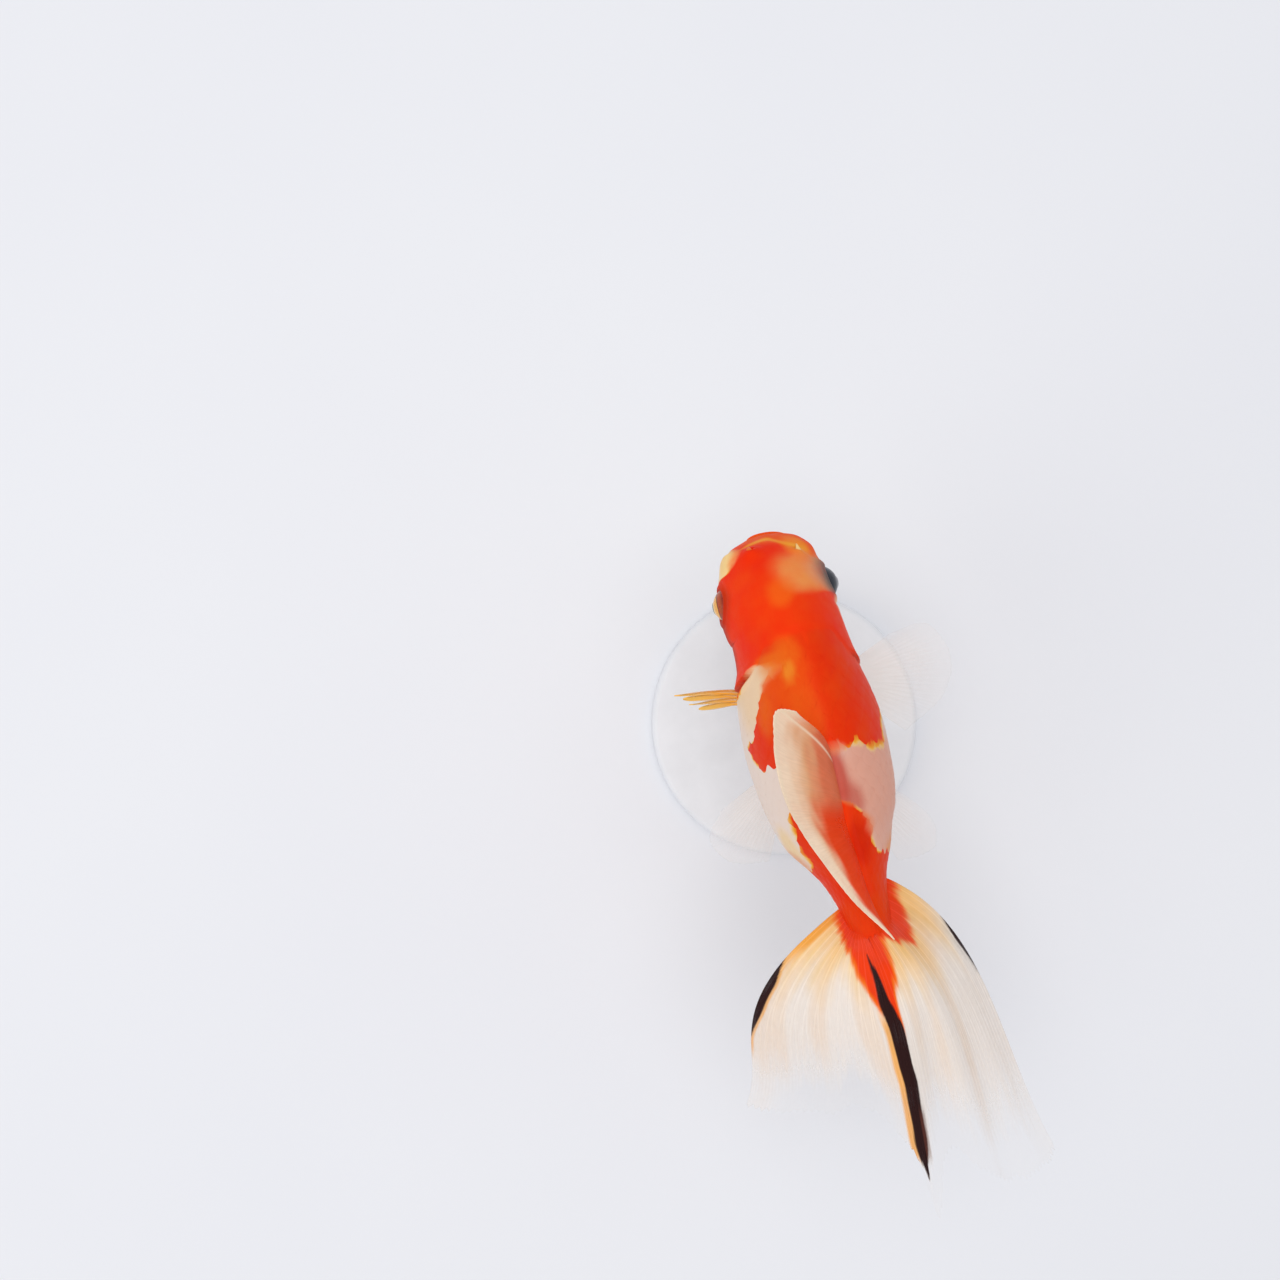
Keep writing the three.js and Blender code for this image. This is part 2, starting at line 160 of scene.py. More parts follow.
class SmoothCurve:
    """Monotone cubic curve through (place, value) pairs."""

    def __init__(self, pairs: tuple[tuple[float, float], ...]) -> None:
        """Works out the tangents.

        Args:
            pairs: places in rising order, each with its value.
        """
        self.places = [place for place, _ in pairs]
        self.values = [value for _, value in pairs]
        steps = zip(self.places, self.places[1:], self.values, self.values[1:])
        slopes = [(high - low) / (after - before) for before, after, low, high in steps]
        inner = [0.0 if a * b <= 0 else 2 * a * b / (a + b) for a, b in zip(slopes, slopes[1:])]
        self.tangents = [slopes[0], *inner, slopes[-1]]

    def at(self, place: float) -> float:
        """Value at a place, held level beyond the ends.

        Args:
            place: where the curve is read.

        Returns:
            The value there.
        """
        last = len(self.places) - 2
        index = next((i for i in range(last) if place <= self.places[i + 1]), last)
        width = self.places[index + 1] - self.places[index]
        t = min(max((place - self.places[index]) / width, 0.0), 1.0)
        low, high = self.values[index : index + 2]
        rise, fall = (width * m for m in self.tangents[index : index + 2])
        square, cube = t * t, t * t * t
        return (
            (2 * cube - 3 * square + 1) * low
            + (cube - 2 * square + t) * rise
            + (3 * square - 2 * cube) * high
            + (cube - square) * fall
        )


class Spline:
    """Smooth line through points in space, evenly timed by the root of their distances."""

    def __init__(self, points: list[Vector]) -> None:
        """Keeps the points and adds one past each end.

        Args:
            points: at least three points.
        """
        before = 2 * points[0] - points[1]
        after = 2 * points[-1] - points[-2]
        self.points = [before, *points, after]
        self.known: dict[float, Vector] = {}

    def at(self, share: float) -> Vector:
        """Point at a share of the way along, counted in spans.

        Args:
            share: share of the whole way.

        Returns:
            The point.
        """
        if share not in self.known:
            self.known[share] = self._work_out(share)
        return self.known[share]

    def _work_out(self, share: float) -> Vector:
        """Point of the curve's cubic piece there.

        Args:
            share: share of the whole way.

        Returns:
            The point.
        """
        spans = len(self.points) - 3
        place = share * spans
        index = min(int(place), spans - 1)
        t = place - index
        p0, p1, p2, p3 = self.points[index : index + 4]
        d0, d1, d2 = (math.sqrt((b - a).length) for a, b in ((p0, p1), (p1, p2), (p2, p3)))
        start = ((p1 - p0) / d0 - (p2 - p0) / (d0 + d1) + (p2 - p1) / d1) * d1
        end = ((p2 - p1) / d1 - (p3 - p1) / (d1 + d2) + (p3 - p2) / d2) * d1
        square, cube = t * t, t * t * t
        return (
            p1 * (2 * cube - 3 * square + 1)
            + start * (cube - 2 * square + t)
            + p2 * (3 * square - 2 * cube)
            + end * (cube - square)
        )


@dataclass(frozen=True)
class Section:
    """One cross section of the body: heights from the spine, half width, sideways shift."""

    station: float
    top: float
    wide: float
    bottom: float
    half: float
    shift: float


@dataclass(frozen=True)
class Slice:
    """The body's frame and reach at one station."""

    centre: Vector
    side: Vector
    rise: Vector
    top: float
    wide: float
    bottom: float
    half: float


@dataclass
class BodyForm:
    """The body's shape along its spine. Station is the distance back from the snout."""

    snout_y: float = -33.2
    balance_station: float = 33.4
    balance_height: float = 46.0
    nose_down: float = math.radians(10)
    upper_fullness: float = 1.12
    lower_fullness: float = 0.94
    sections: tuple[Section, ...] = (
        Section(0, 0, 0, 0, 0, -1),
        Section(1.2, 3.4, 0.1, -2.9, 5, -0.9),
        Section(3, 6.1, 0.3, -5, 7, -0.7),
        Section(6, 9.2, 0.6, -7.7, 8.25, -0.1),
        Section(10.1, 12.1, 0.8, -10.5, 8.8, 0.2),
        Section(12.8, 13.5, 0.5, -12.2, 9.05, 0.3),
        Section(16.2, 14.9, 0, -13.9, 8.85, -0.05),
        Section(20.3, 16.3, -1.2, -15.7, 9.1, -0.15),
        Section(26.3, 17.7, -2.4, -17.3, 10.4, 0.1),
        Section(33.4, 18.1, -3, -18.6, 11.1, -0.05),
        Section(40.5, 16.8, -2.8, -18, 10.65, -0.05),
        Section(46.6, 14.1, -2, -15.3, 9.4, 0.05),
        Section(51.7, 10.9, -1, -11.3, 7, -0.3),
        Section(55.7, 8.5, 0, -8, 4.9, -0.45),
        Section(59.8, 6.6, 0, -6, 3.8, -0.65),
        Section(65, 5.6, 0, -5.2, 3.1, -0.9),
    )

    def __post_init__(self) -> None:
        """Makes a smooth curve of each measure; the square root rounds the snout."""
        self.curves = {
            key: SmoothCurve(tuple((math.sqrt(s.station), getattr(s, key)) for s in self.sections))
            for key in ("top", "wide", "bottom", "half", "shift")
        }
        self.slices: dict[float, Slice] = {}

    def measure(self, key: str, station: float) -> float:
        """One measure of the section at a station."""
        return self.curves[key].at(math.sqrt(max(station, 0.0)))

    def spine(self, station: float) -> Vector:
        """Point of the spine at a station.

        Args:
            station: distance back from the snout.

        Returns:
            The point in millimetres.
        """
        y = self.snout_y + station * math.cos(self.nose_down)
        z = self.balance_height + (station - self.balance_station) * math.sin(self.nose_down)
        return Vector((self.measure("shift", station), y, z))

    def slice(self, station: float) -> Slice:
        """The body's frame and reach at a station, worked out once.

        Args:
            station: distance back from the snout.

        Returns:
            The slice.
        """
        key = round(station, 4)
        if key not in self.slices:
            along = (self.spine(key + 0.5) - self.spine(max(key - 0.5, 0.0))).normalized()
            side = along.cross(Vector((0, 0, 1))).normalized()
            reach = [self.measure(name, key) for name in ("top", "wide", "bottom", "half")]
            self.slices[key] = Slice(self.spine(key), side, side.cross(along), *reach)
        return self.slices[key]

    def place(self, station: float, out: float, up: float) -> Vector:
        """Point by its station, its distance out to the left and its height."""
        cut = self.slice(station)
        return cut.centre + cut.side * out + cut.rise * up

    def skin(self, station: float, turn: float, grow: float = 0.0) -> Vector:
        """Point of the body's surface.

        Args:
            station: distance back from the snout.
            turn: angle round the section, 0 on the left side and a quarter turn on top.
            grow: distance outward from the surface.

        Returns:
            The point in millimetres.
        """
        cut = self.slice(station)
        c, s = math.cos(turn), math.sin(turn)
        reach = cut.top - cut.wide if s > 0 else cut.wide - cut.bottom
        fullness = self.upper_fullness if s > 0 else self.lower_fullness
        out = (cut.half + grow) * math.copysign(abs(c) ** fullness, c)
        return cut.centre + cut.side * out + cut.rise * (cut.wide + (reach + grow) * s)

    def girth(self, station: float) -> float:
        """Length round the section at a station.

        Args:
            station: distance back from the snout.

        Returns:
            The length in millimetres.
        """
        cut = self.slice(station)
        half_height = (cut.top - cut.bottom) / 2
        return math.tau * math.sqrt((cut.half**2 + half_height**2) / 2)

    def even_turns(self, station: float, samples: int = 144) -> SmoothCurve:
        """Turn against the share of the girth, counted from the belly by the left side.

        Args:
            station: distance back from the snout.
            samples: how many chords measure the girth.

        Returns:
            A curve from share to turn.
        """
        turns = [math.tau * i / samples - math.pi / 2 for i in range(samples + 1)]
        points = [self.skin(station, turn) for turn in turns]
        lengths = [0.0]
        for before, after in zip(points, points[1:]):
            lengths.append(lengths[-1] + (after - before).length)
        return SmoothCurve(tuple((length / lengths[-1], t) for length, t in zip(lengths, turns)))


# ---------------------------------------------------------------- markings


@dataclass(frozen=True)
class Patch:
    """A red patch over the back.

    Left and right are its limits in degrees off the top at each station, and rear is the
    station where it ends at each number of degrees.
    """

    front: float
    left: SmoothCurve
    right: SmoothCurve
    rear: SmoothCurve

    def depth(self, station: float, degrees: float, per_degree: float) -> float:
        """How far inside the patch a place lies, in millimetres, negative outside.

        Args:
            station: distance back from the snout.
            degrees: angle from the top of the back, positive on the left.
            per_degree: millimetres of skin to a degree there.

        Returns:
            The distance to the nearest limit.
        """
        to_left = (self.left.at(station) - degrees) * per_degree
        to_right = (degrees - self.right.at(station)) * per_degree
        return min(to_left, to_right, station - self.front, self.rear.at(degrees) - station)


@dataclass(frozen=True)
class Spot:
    """A soft spot, centred at a station and an angle off the top."""

    station: float
    degrees: float
    length: float
    width: float
    share: float

    def strength(self, station: float, degrees: float, per_degree: float) -> float:
        """How strongly the spot works at a place, from 0 to its share.

        Args:
            station: distance back from the snout.
            degrees: angle from the top of the back, positive on the left.
            per_degree: millimetres of skin to a degree there.

        Returns:
            A share.
        """
        along = (station - self.station) / self.length
        across = (degrees - self.degrees) * per_degree / self.width
        return self.share * (1 - ease(0.35, 1.0, math.hypot(along, across)))


@dataclass(frozen=True)
class Blush(Spot):
    """A soft spot of colour."""

    paint: Paint


@dataclass(frozen=True)
class Coat:
    """What the markings say of one place: depth in red, softness, colour below and over it."""

    fire: float
    soft: float
    ground: Colour
    over: Tint


def lift_of(turn: float) -> float:
    """Angle above the widest line, on either side, of an angle round the section."""
    return math.atan2(math.sin(turn), abs(math.cos(turn)))


def gill_edge(lift: float) -> float:
    """Station of the gill cover's rear edge at an angle above the widest line."""
    return 23.5 - 2.5 * min(((lift + 0.12) / 0.95) ** 2, 2.0)


@dataclass
class Markings:
    """The fish's colours over its body, the same for skin and scales.

    The red lies in a hood from snout to mid back, on the left gill cover, and in a saddle
    behind. Blurs soften its edges, grounds colour the skin around it and blushes lie over it.
    """

    form: BodyForm
    hood: Patch = Patch(
        front=-3.0,
        left=SmoothCurve(
            ((0, 112), (1.6, 100), (2.6, 62), (4.5, 50), (5.5, 53), (6.4, 60), (7, 82), (8, 98),
             (12, 102), (16, 104), (20, 104), (21, 86), (21.7, 50), (22.4, 34), (23.4, 29),
             (24.2, 34), (25.1, 42), (26.4, 47), (29.5, 55), (31.5, 64), (32.8, 74), (35.6, 69),
             (37.4, 50), (38, 10))
        ),
        right=SmoothCurve(
            ((0, -95), (5, -95), (8.5, -104), (12, -106), (16, -102), (20, -98), (24, -94),
             (28, -92), (31, -75), (34, -60), (36.5, -55), (37.5, -55))
        ),
        rear=SmoothCurve(((-95, 36.8), (-48, 37.3), (-14, 36.5), (3, 36.4), (25, 37.6), (50, 38))),
    )
    cover: Patch = Patch(
        front=16.0,
        left=SmoothCurve(((16, 104), (24.5, 100))),
        right=SmoothCurve(((20.6, 40), (21.5, 48), (21.9, 58), (22.9, 67), (24.2, 77))),
        rear=SmoothCurve(((0, 24.5), (90, 24.5))),
    )
    saddle: Patch = Patch(
        front=42.9,
        left=SmoothCurve(
            ((43.6, 46), (45.4, 52), (48.5, 56), (50.4, 58), (51.6, 60), (52.4, 70), (53, 88),
             (54.6, 120), (58.5, 185))
        ),
        right=SmoothCurve(
            ((42.8, 14), (43.6, 10), (44.4, -2), (45.6, -13), (46.8, -18), (47.8, -24), (49.3, -25),
             (51, -26), (52.5, -34), (53.1, -50), (53.8, -100), (56, -140), (58.5, -185))
        ),
        rear=SmoothCurve(((0, 90), (90, 90))),
    )
    blurs: tuple[Spot, ...] = (
        Spot(22.8, 38, 5.0, 9.5, 0.72),
        Spot(4.0, 60, 3.0, 4.6, 0.6),
        Spot(4.6, 90, 4.2, 5.0, 0.45),
        Spot(43.4, 0, 4.4, 4.8, 0.55),
        Spot(47.6, -27, 3.6, 4.0, 0.6),
        Spot(36.8, -1, 2.2, 4.5, 0.55),
    )
    grounds: tuple[Blush, ...] = (
        Blush(25, 52, 10, 10, 1.0, Paint.CREAM),
        Blush(22, 80, 5, 5, 0.5, Paint.STRAW),
        Blush(22.2, 34, 3.6, 5.0, 0.8, Paint.PEACH),
        Blush(41.5, -38, 13, 17, 1.0, Paint.MAUVE),
        Blush(49, -52, 9, 8, 0.8, Paint.MAUVE),
        # Painted shade round the root of the dorsal fin, mostly on its right.
        Blush(40.5, 1, 6.5, 3.6, 0.9, Paint.ROSE),
        Blush(44.5, -8, 4.0, 4.0, 0.7, Paint.ROSE),
        Blush(48, 72, 3.4, 3.4, 0.6, Paint.STRAW),
        Blush(50.9, 90, 3.8, 5.0, 0.65, Paint.PEACH),
        Blush(52.6, -78, 3.0, 6.0, 0.7, Paint.PEACH),
        Blush(4.6, 66, 4, 5, 0.9, Paint.STRAW),
        Blush(30, 160, 16, 12, 0.22, Paint.MAUVE),
        Blush(13, 128, 6, 6, 0.35, Paint.MAUVE),
        Blush(13, -128, 6, 6, 0.35, Paint.MAUVE),
    )
    blushes: tuple[Blush, ...] = (
        Blush(0.6, 0, 3.0, 9, 0.4, Paint.ORANGE),
        Blush(3.8, -36, 3.0, 3.4, 0.6, Paint.AMBER),
        Blush(6.4, -70, 4.6, 4.6, 0.8, Paint.ORANGE),
        Blush(8.8, -36, 5.6, 9.0, 0.95, Paint.PEACH),
        Blush(10.2, -18, 3.2, 4.6, 0.6, Paint.PEACH),
        Blush(9.2, -62, 4.6, 6.4, 0.85, Paint.TAN),
        Blush(12, 2, 3.4, 4.2, 0.5, Paint.ORANGE),
        Blush(9.6, -84, 6.5, 8.0, 1.0, Paint.DUSK),
        # Painted shade: deeper red-brown down the steep left flank and round the rim of the left eye.
        Blush(16, 94, 14, 4.2, 0.5, Paint.RUST),
        Blush(10.6, 84, 4.2, 5.4, 0.75, Paint.RUST),
        Blush(21.2, 19, 3.4, 4.2, 0.5, Paint.ORANGE),
        Blush(22.2, 38, 2.4, 4.6, 0.7, Paint.ORANGE),
        Blush(25.2, 24, 7.0, 8.0, 0.3, Paint.ORANGE),
        Blush(24.4, 20, 2.2, 2.0, 0.5, Paint.AMBER),
        Blush(31, 12, 6.0, 5.0, 0.35, Paint.ORANGE),
        Blush(50.5, -8, 4.5, 4, 0.8, Paint.DEEP_SCARLET),
        Blush(29, 46, 5, 3, 0.5, Paint.ORANGE),
        Blush(23.2, -88, 2.2, 1.8, 0.7, Paint.AMBER),
        Blush(27.6, -90, 2.0, 1.8, 0.7, Paint.AMBER),
        Blush(34, -84, 3.4, 3.0, 0.75, Paint.AMBER),
        # A pale straw band on the right of the head, with a painted highlight along that edge.
        Blush(15.9, -84, 2.8, 4.4, 0.85, Paint.CREAM),
    )
    lip_line: SmoothCurve = SmoothCurve(((-40, 3.6), (-21, 3.1), (9, 1.7), (33, 2.4), (48, 3.4)))

    def at(self, station: float, turn: float, wander: float = 0.0) -> Coat:
        """The markings at a place of the skin.

        Args:
            station: distance back from the snout.
            turn: angle round the section, a quarter turn on top.
            wander: millimetres added to the depth in red, for ragged edges.

        Returns:
            The coat's colours there.
        """
        degrees = (90 - math.degrees(turn) + 180) % 360 - 180
        per_degree = self.form.girth(max(station, 0.5)) / 360
        here = (station, degrees, per_degree)
        fire = max(patch.depth(*here) for patch in (self.hood, self.cover, self.saddle))
        ground = Paint.PEARL.linear
        for blush in self.grounds:
            ground = mingle(ground, blush.paint.linear, blush.strength(*here))
        lift = lift_of(turn)
        # Painted shade: a dull rose line just behind each gill cover's edge on the pale skin, and red-brown
        # over the red.
        slit = bell(station - gill_edge(lift) - 0.25, 0.34) * ease(0.6, 0.35, lift)
        ground = mingle(ground, Paint.ROSE.linear, 0.42 * slit)
        soft = max(blur.strength(*here) for blur in self.blurs)
        over, cover = Paint.ORANGE.linear, 0.0
        for blush in self.blushes:
            over, cover = self._lay(over, cover, blush.paint, blush.strength(*here))
        # Painted shade behind the gill cover's edge, over the red.
        over, cover = self._lay(over, cover, Paint.RUST, 0.7 * slit)
        line = bell(station - self.lip_line.at(degrees), 0.42) * ease(58, 36, abs(degrees + 2))
        over, cover = self._lay(over, cover, Paint.AMBER, 0.8 * line)
        return Coat((fire + wander) * (1 - soft), soft, ground, (*over, cover))

    @staticmethod
    def _lay(over: Colour, cover: float, paint: Paint, share: float) -> tuple[Colour, float]:
        """Lays one more colour over a colour and its cover, as glazes add.

        Args:
            over: the colour so far.
            cover: how much of it covers.
            paint: the colour to lay.
            share: how much of it is laid.

        Returns:
            The new colour and its cover.
        """
        total = cover * (1 - share) + share
        if total <= 0:
            return over, 0.0
        return mingle(over, paint.linear, share / total), total


# ---------------------------------------------------------------- relief of the head


@dataclass(frozen=True)
class EyeSeat:
    """Where one eye sits: its side, its centre by station, out and up, and its rim's height."""

    name: str
    side: int
    station: float
    out: float
    up: float
    rim: float


EYE_SEATS = (EyeSeat("left", 1, 10.4, 7.1, 1.8, 0.42), EyeSeat("right", -1, 10, -6.9, 2.3, 0.2))


@dataclass
class Relief:
    """Heights of the skin's features over the plain form, in millimetres."""

    form: BodyForm
    lip_height: float = 0.42
    slit_depth: float = 0.95
    mouth_reach: float = 4.2
    mouth_half: float = 3.3
    mouth_bow: float = 0.075
    cover_height: float = 0.34
    groove_depth: float = 0.5
    rim_radius: float = 2.95
    brow_radius: float = 4.1
    socket_radius: float = 2.35
    nare_station: float = 4.6
    nare_turn: float = 1.05
    coat_depth: float = 0.19

    def __post_init__(self) -> None:
        """Places the features that stand at fixed points."""
        form = self.form
        self.eyes = [(form.place(e.station, e.out, e.up), form.slice(e.station).side * e.side, e.rim)
                     for e in EYE_SEATS]
        turns = (self.nare_turn, math.pi - self.nare_turn)
        self.nares = [form.skin(self.nare_station, turn) for turn in turns]
        self.pits = [form.skin(self.nare_station - 0.5, turn) for turn in turns]
        roots = ((24.2, -0.64), (24.2, math.pi + 0.6), (37, -1.25), (37, math.pi + 1.25))
        self.roots = [form.skin(*root) for root in roots]

    def scaled(self, station: float, lift: float) -> float:
        """How much a place belongs to the scaled part of the body, from 0 to 1.

        Args:
            station: distance back from the snout.
            lift: angle above the widest line, on either side.

        Returns:
            0 on the bare head, 1 under the scales.
        """
        return ease(0.1, 1.7, station - self.first_scale(lift))

    def first_scale(self, lift: float) -> float:
        """Station where the scales begin, behind the nape or the gill cover."""
        nape = 17.2 + 1.0 * ease(1.5, 0.9, lift)
        return nape + (gill_edge(lift) + 0.5 - nape) * ease(0.95, 0.55, lift)

    def height(self, station: float, turn: float, point: Vector) -> float:
        """Height of the skin over the plain form.

        Args:
            station: distance back from the snout.
            turn: angle round the section.
            point: the plain form's point there.

        Returns:
            Height in millimetres, negative inward.
        """
        lift = lift_of(turn)
        total = -self.coat_depth * self.scaled(station, lift)
        total += 0.05 * noise.noise(point * 0.55) * ease(26, 12, station)
        if station < 7:
            total += self._mouth(station, point) + self._nostrils(point)
        if 4 < station < 17:
            total += self._eye_rims(point)
        if 7 < station < 27:
            total += self._gill_cover(station, lift)
        if station > 21:
            total += self._fin_bases(station, turn, point) - self.stalk_taper(station)
        return total

    def stalk_taper(self, station: float) -> float:
        """How much the end of the stalk narrows where it passes into the tail."""
        return 1.6 * ease(60.5, 65.5, station)

    def _mouth(self, station: float, point: Vector) -> float:
        """A bowed slit between two lips, at the tip of the snout.

        Args:
            station: distance back from the snout.
            point: the plain form's point there.

        Returns:
            Height in millimetres.
        """
        cut = self.form.slice(station)
        up = (point - cut.centre).dot(cut.rise)
        out = (point - cut.centre).dot(cut.side)
        off = up + 0.5 + 1.5 * station / self.mouth_reach + self.mouth_bow * out * out
        front = ease(1.12, 0.9, station / self.mouth_reach)
        there = front * inside(self.mouth_half, abs(out), 0.5)
        corner = front * bell(abs(out) - self.mouth_half, 0.6) * bell(off, 0.8)
        lips = bell(off - 0.72, 0.46) + 0.9 * bell(off + 0.66, 0.42)
        fold = -0.22 * bell(off - 1.55, 0.3) - 0.2 * bell(off + 1.45, 0.3)
        slit = self.slit_depth * bell(off, 0.26)
        return (self.lip_height * lips + fold - slit) * there - 0.25 * corner

    def _nostrils(self, point: Vector) -> float:
        """A low mound with a pit at each nostril.

        Args:
            point: the plain form's point there.

        Returns:
            Height in millimetres.
        """
        mounds = sum(0.62 * bell((point - nare).length, 1.35) for nare in self.nares)
        pits = sum(0.7 * bell((point - pit).length, 0.42) for pit in self.pits)
        return mounds - pits

    def _eye_rims(self, point: Vector) -> float:
        """A raised rim round each eye, and the socket inside it.

        Args:
            point: the plain form's point there.

        Returns:
            Height in millimetres.
        """
        total = 0.0
        for centre, axis, rim in self.eyes:
            arm = point - centre
            depth = arm.dot(axis)
            if depth > -0.5:
                off = (arm - axis * depth).length
                total += rim * bell(off - self.rim_radius, 0.52)
                total += 0.3 * rim * bell(off - self.brow_radius, 0.6)
                total -= ease(self.socket_radius, 1.7, off)
        return total

    def _gill_cover(self, station: float, lift: float) -> float:
        """The gill cover's plate with a step behind it, and the crease of the cheek.

        Args:
            station: distance back from the snout.
            lift: angle above the widest line, on either side.

        Returns:
            Height in millimetres.
        """
        behind = station - gill_edge(lift)
        there = ease(0.75, 0.45, lift)
        plate = self.cover_height * math.exp(min(behind, 0.0) / 2.4) * ease(0.16, -0.12, behind)
        groove = self.groove_depth * bell(max(behind - 0.1, 0.0), 0.7) * ease(-0.1, 0.14, behind)
        cheek_edge = 15.2 - 4.6 * ease(-0.25, -1.15, lift)
        crease = 0.26 * bell(station - cheek_edge, 0.32) * ease(-1.25, -1.0, lift) * ease(0.5, 0.2, lift)
        cheek = 0.12 * bell(station - cheek_edge + 1.2, 0.9) * ease(0.5, 0.2, lift)
        seam = 0.1 * bell(lift + 0.6 + 0.05 * (station - 18), 0.035) * ease(15.6, 16.3, station)
        return (plate - groove) * there - crease + cheek - seam * ease(0.1, -0.3, behind)

    def _fin_bases(self, station: float, turn: float, point: Vector) -> float:
        """Flesh that swells round the roots of the fins.

        Args:
            station: distance back from the snout.
            turn: angle round the section.
            point: the plain form's point there.

        Returns:
            Height in millimetres.
        """
        fleshy = sum(0.5 * bell((point - root).length, 1.7) for root in self.roots)
        off_top = abs(turn - math.pi / 2) * self.form.slice(station).half
        sheath = 0.45 * bell(off_top, 1.1) * ease(34.5, 37, station) * ease(60.5, 58, station)
        return fleshy + sheath


# ---------------------------------------------------------------- nodes and finishes


class Bench:
    """Adds nodes to one node tree and wires them."""

    def __init__(self, tree: bpy.types.NodeTree) -> None:
        """Keeps the tree.

        Args:
            tree: an empty or a part-filled shader node tree.
        """
        self.tree = tree

    def add(self, kind: str, **settings: object) -> bpy.types.Node:
        """Adds a node and sets its properties.

        Args:
            kind: the node's type.
            **settings: its properties by name.

        Returns:
            The node.
        """
        node = self.tree.nodes.new(kind)
        for key, value in settings.items():
            setattr(node, key, value)
        return node

    def feed(self, node: bpy.types.Node, **values: object) -> bpy.types.Node:
        """Sets a node's inputs by name, from sockets or from plain values.

        Args:
            node: the node to feed.
            **values: input names, with _ for each space.

        Returns:
            The same node.
        """
        for key, value in values.items():
            self.put(node.inputs[key.replace("_", " ")], value)
        return node

    def put(self, socket: bpy.types.NodeSocket, value: object) -> None:
        """Links a socket to another, or gives it a plain value.

        Args:
            socket: the input to set.
            value: a socket or a plain value.
        """
        if isinstance(value, bpy.types.NodeSocket):
            self.tree.links.new(value, socket)
        else:
            socket.default_value = value

    def maths(self, operation: str, *values: object) -> bpy.types.NodeSocket:
        """A Math node's result.

        Args:
            operation: what the node does.
            *values: its inputs in order.

        Returns:
            The result.
        """
        node = self.add("ShaderNodeMath", operation=operation)
        for socket, value in zip(node.inputs, values):
            self.put(socket, value)
        return node.outputs[0]

    def times(self, first: object, second: object) -> bpy.types.NodeSocket:
        """Multiplies two values."""
        return self.maths("MULTIPLY", first, second)

    def span(self, value: object, low: float, high: float, to_low: float = 0.0,
             to_high: float = 1.0) -> bpy.types.NodeSocket:
        """Maps a value smoothly from one range to another.

        Args:
            value: the value to map.
            low: start of its range.
            high: end of its range, which may be under the start.
            to_low: the result at the start and before it.
            to_high: the result at the end and past it.

        Returns:
            The mapped value.
        """
        node = self.add("ShaderNodeMapRange", interpolation_type="SMOOTHSTEP")
        self.feed(node, Value=value, From_Min=low, From_Max=high, To_Min=to_low, To_Max=to_high)
        return node.outputs["Result"]

    def mix(self, share: object, first: object, second: object, blend: str = "MIX") -> bpy.types.NodeSocket:
        """Mixes two colours.

        Args:
            share: how much of the second.
            first: the colour below.
            second: the colour laid over it.
            blend: how it is laid.

        Returns:
            The mixed colour.
        """
        node = self.add("ShaderNodeMix", data_type="RGBA", blend_type=blend, clamp_factor=True)
        for index, value in ((0, share), (6, first), (7, second)):
            self.put(node.inputs[index], value)
        return node.outputs[2]

    def ramp(self, value: object, *stops: tuple[float, Colour]) -> bpy.types.NodeSocket:
        """A colour ramp.

        Args:
            value: the place on the ramp.
            *stops: places in rising order, each with its colour.

        Returns:
            The colour there.
        """
        node = self.add("ShaderNodeValToRGB")
        elements = node.color_ramp.elements
        while len(elements) < len(stops):
            elements.new(0.5)
        for element, (place, colour) in zip(elements, stops):
            element.position = place
            element.color = opaque(colour)
        self.put(node.inputs["Fac"], value)
        return node.outputs["Color"]

    def attribute(self, name: str) -> bpy.types.Node:
        """Reads an attribute of the mesh."""
        return self.add("ShaderNodeAttribute", attribute_name=name, attribute_type="GEOMETRY")

    def place(self) -> bpy.types.NodeSocket:
        """The piece's own coordinates."""
        return self.add("ShaderNodeTexCoord").outputs["Object"]

    def group(self, tree: bpy.types.NodeTree, **values: object) -> bpy.types.NodeSocket:
        """The one result of a node group that is fed these values."""
        return self.feed(self.add("ShaderNodeGroup", node_tree=tree), **values).outputs[0]

    def mottled(self, place: object, scale: float, low: float, high: float) -> bpy.types.NodeSocket:
        """Soft cloudy variation between a low and a high value."""
        return self.group(Effects.mottle(), Place=place, Scale=scale, Low=low, High=high)

    def bump(self, strength: float, distance: float, height: object) -> bpy.types.NodeSocket:
        """A normal that is tilted by a height, for highlights."""
        node = self.add("ShaderNodeBump")
        return self.feed(node, Strength=strength, Distance=distance, Height=height).outputs["Normal"]


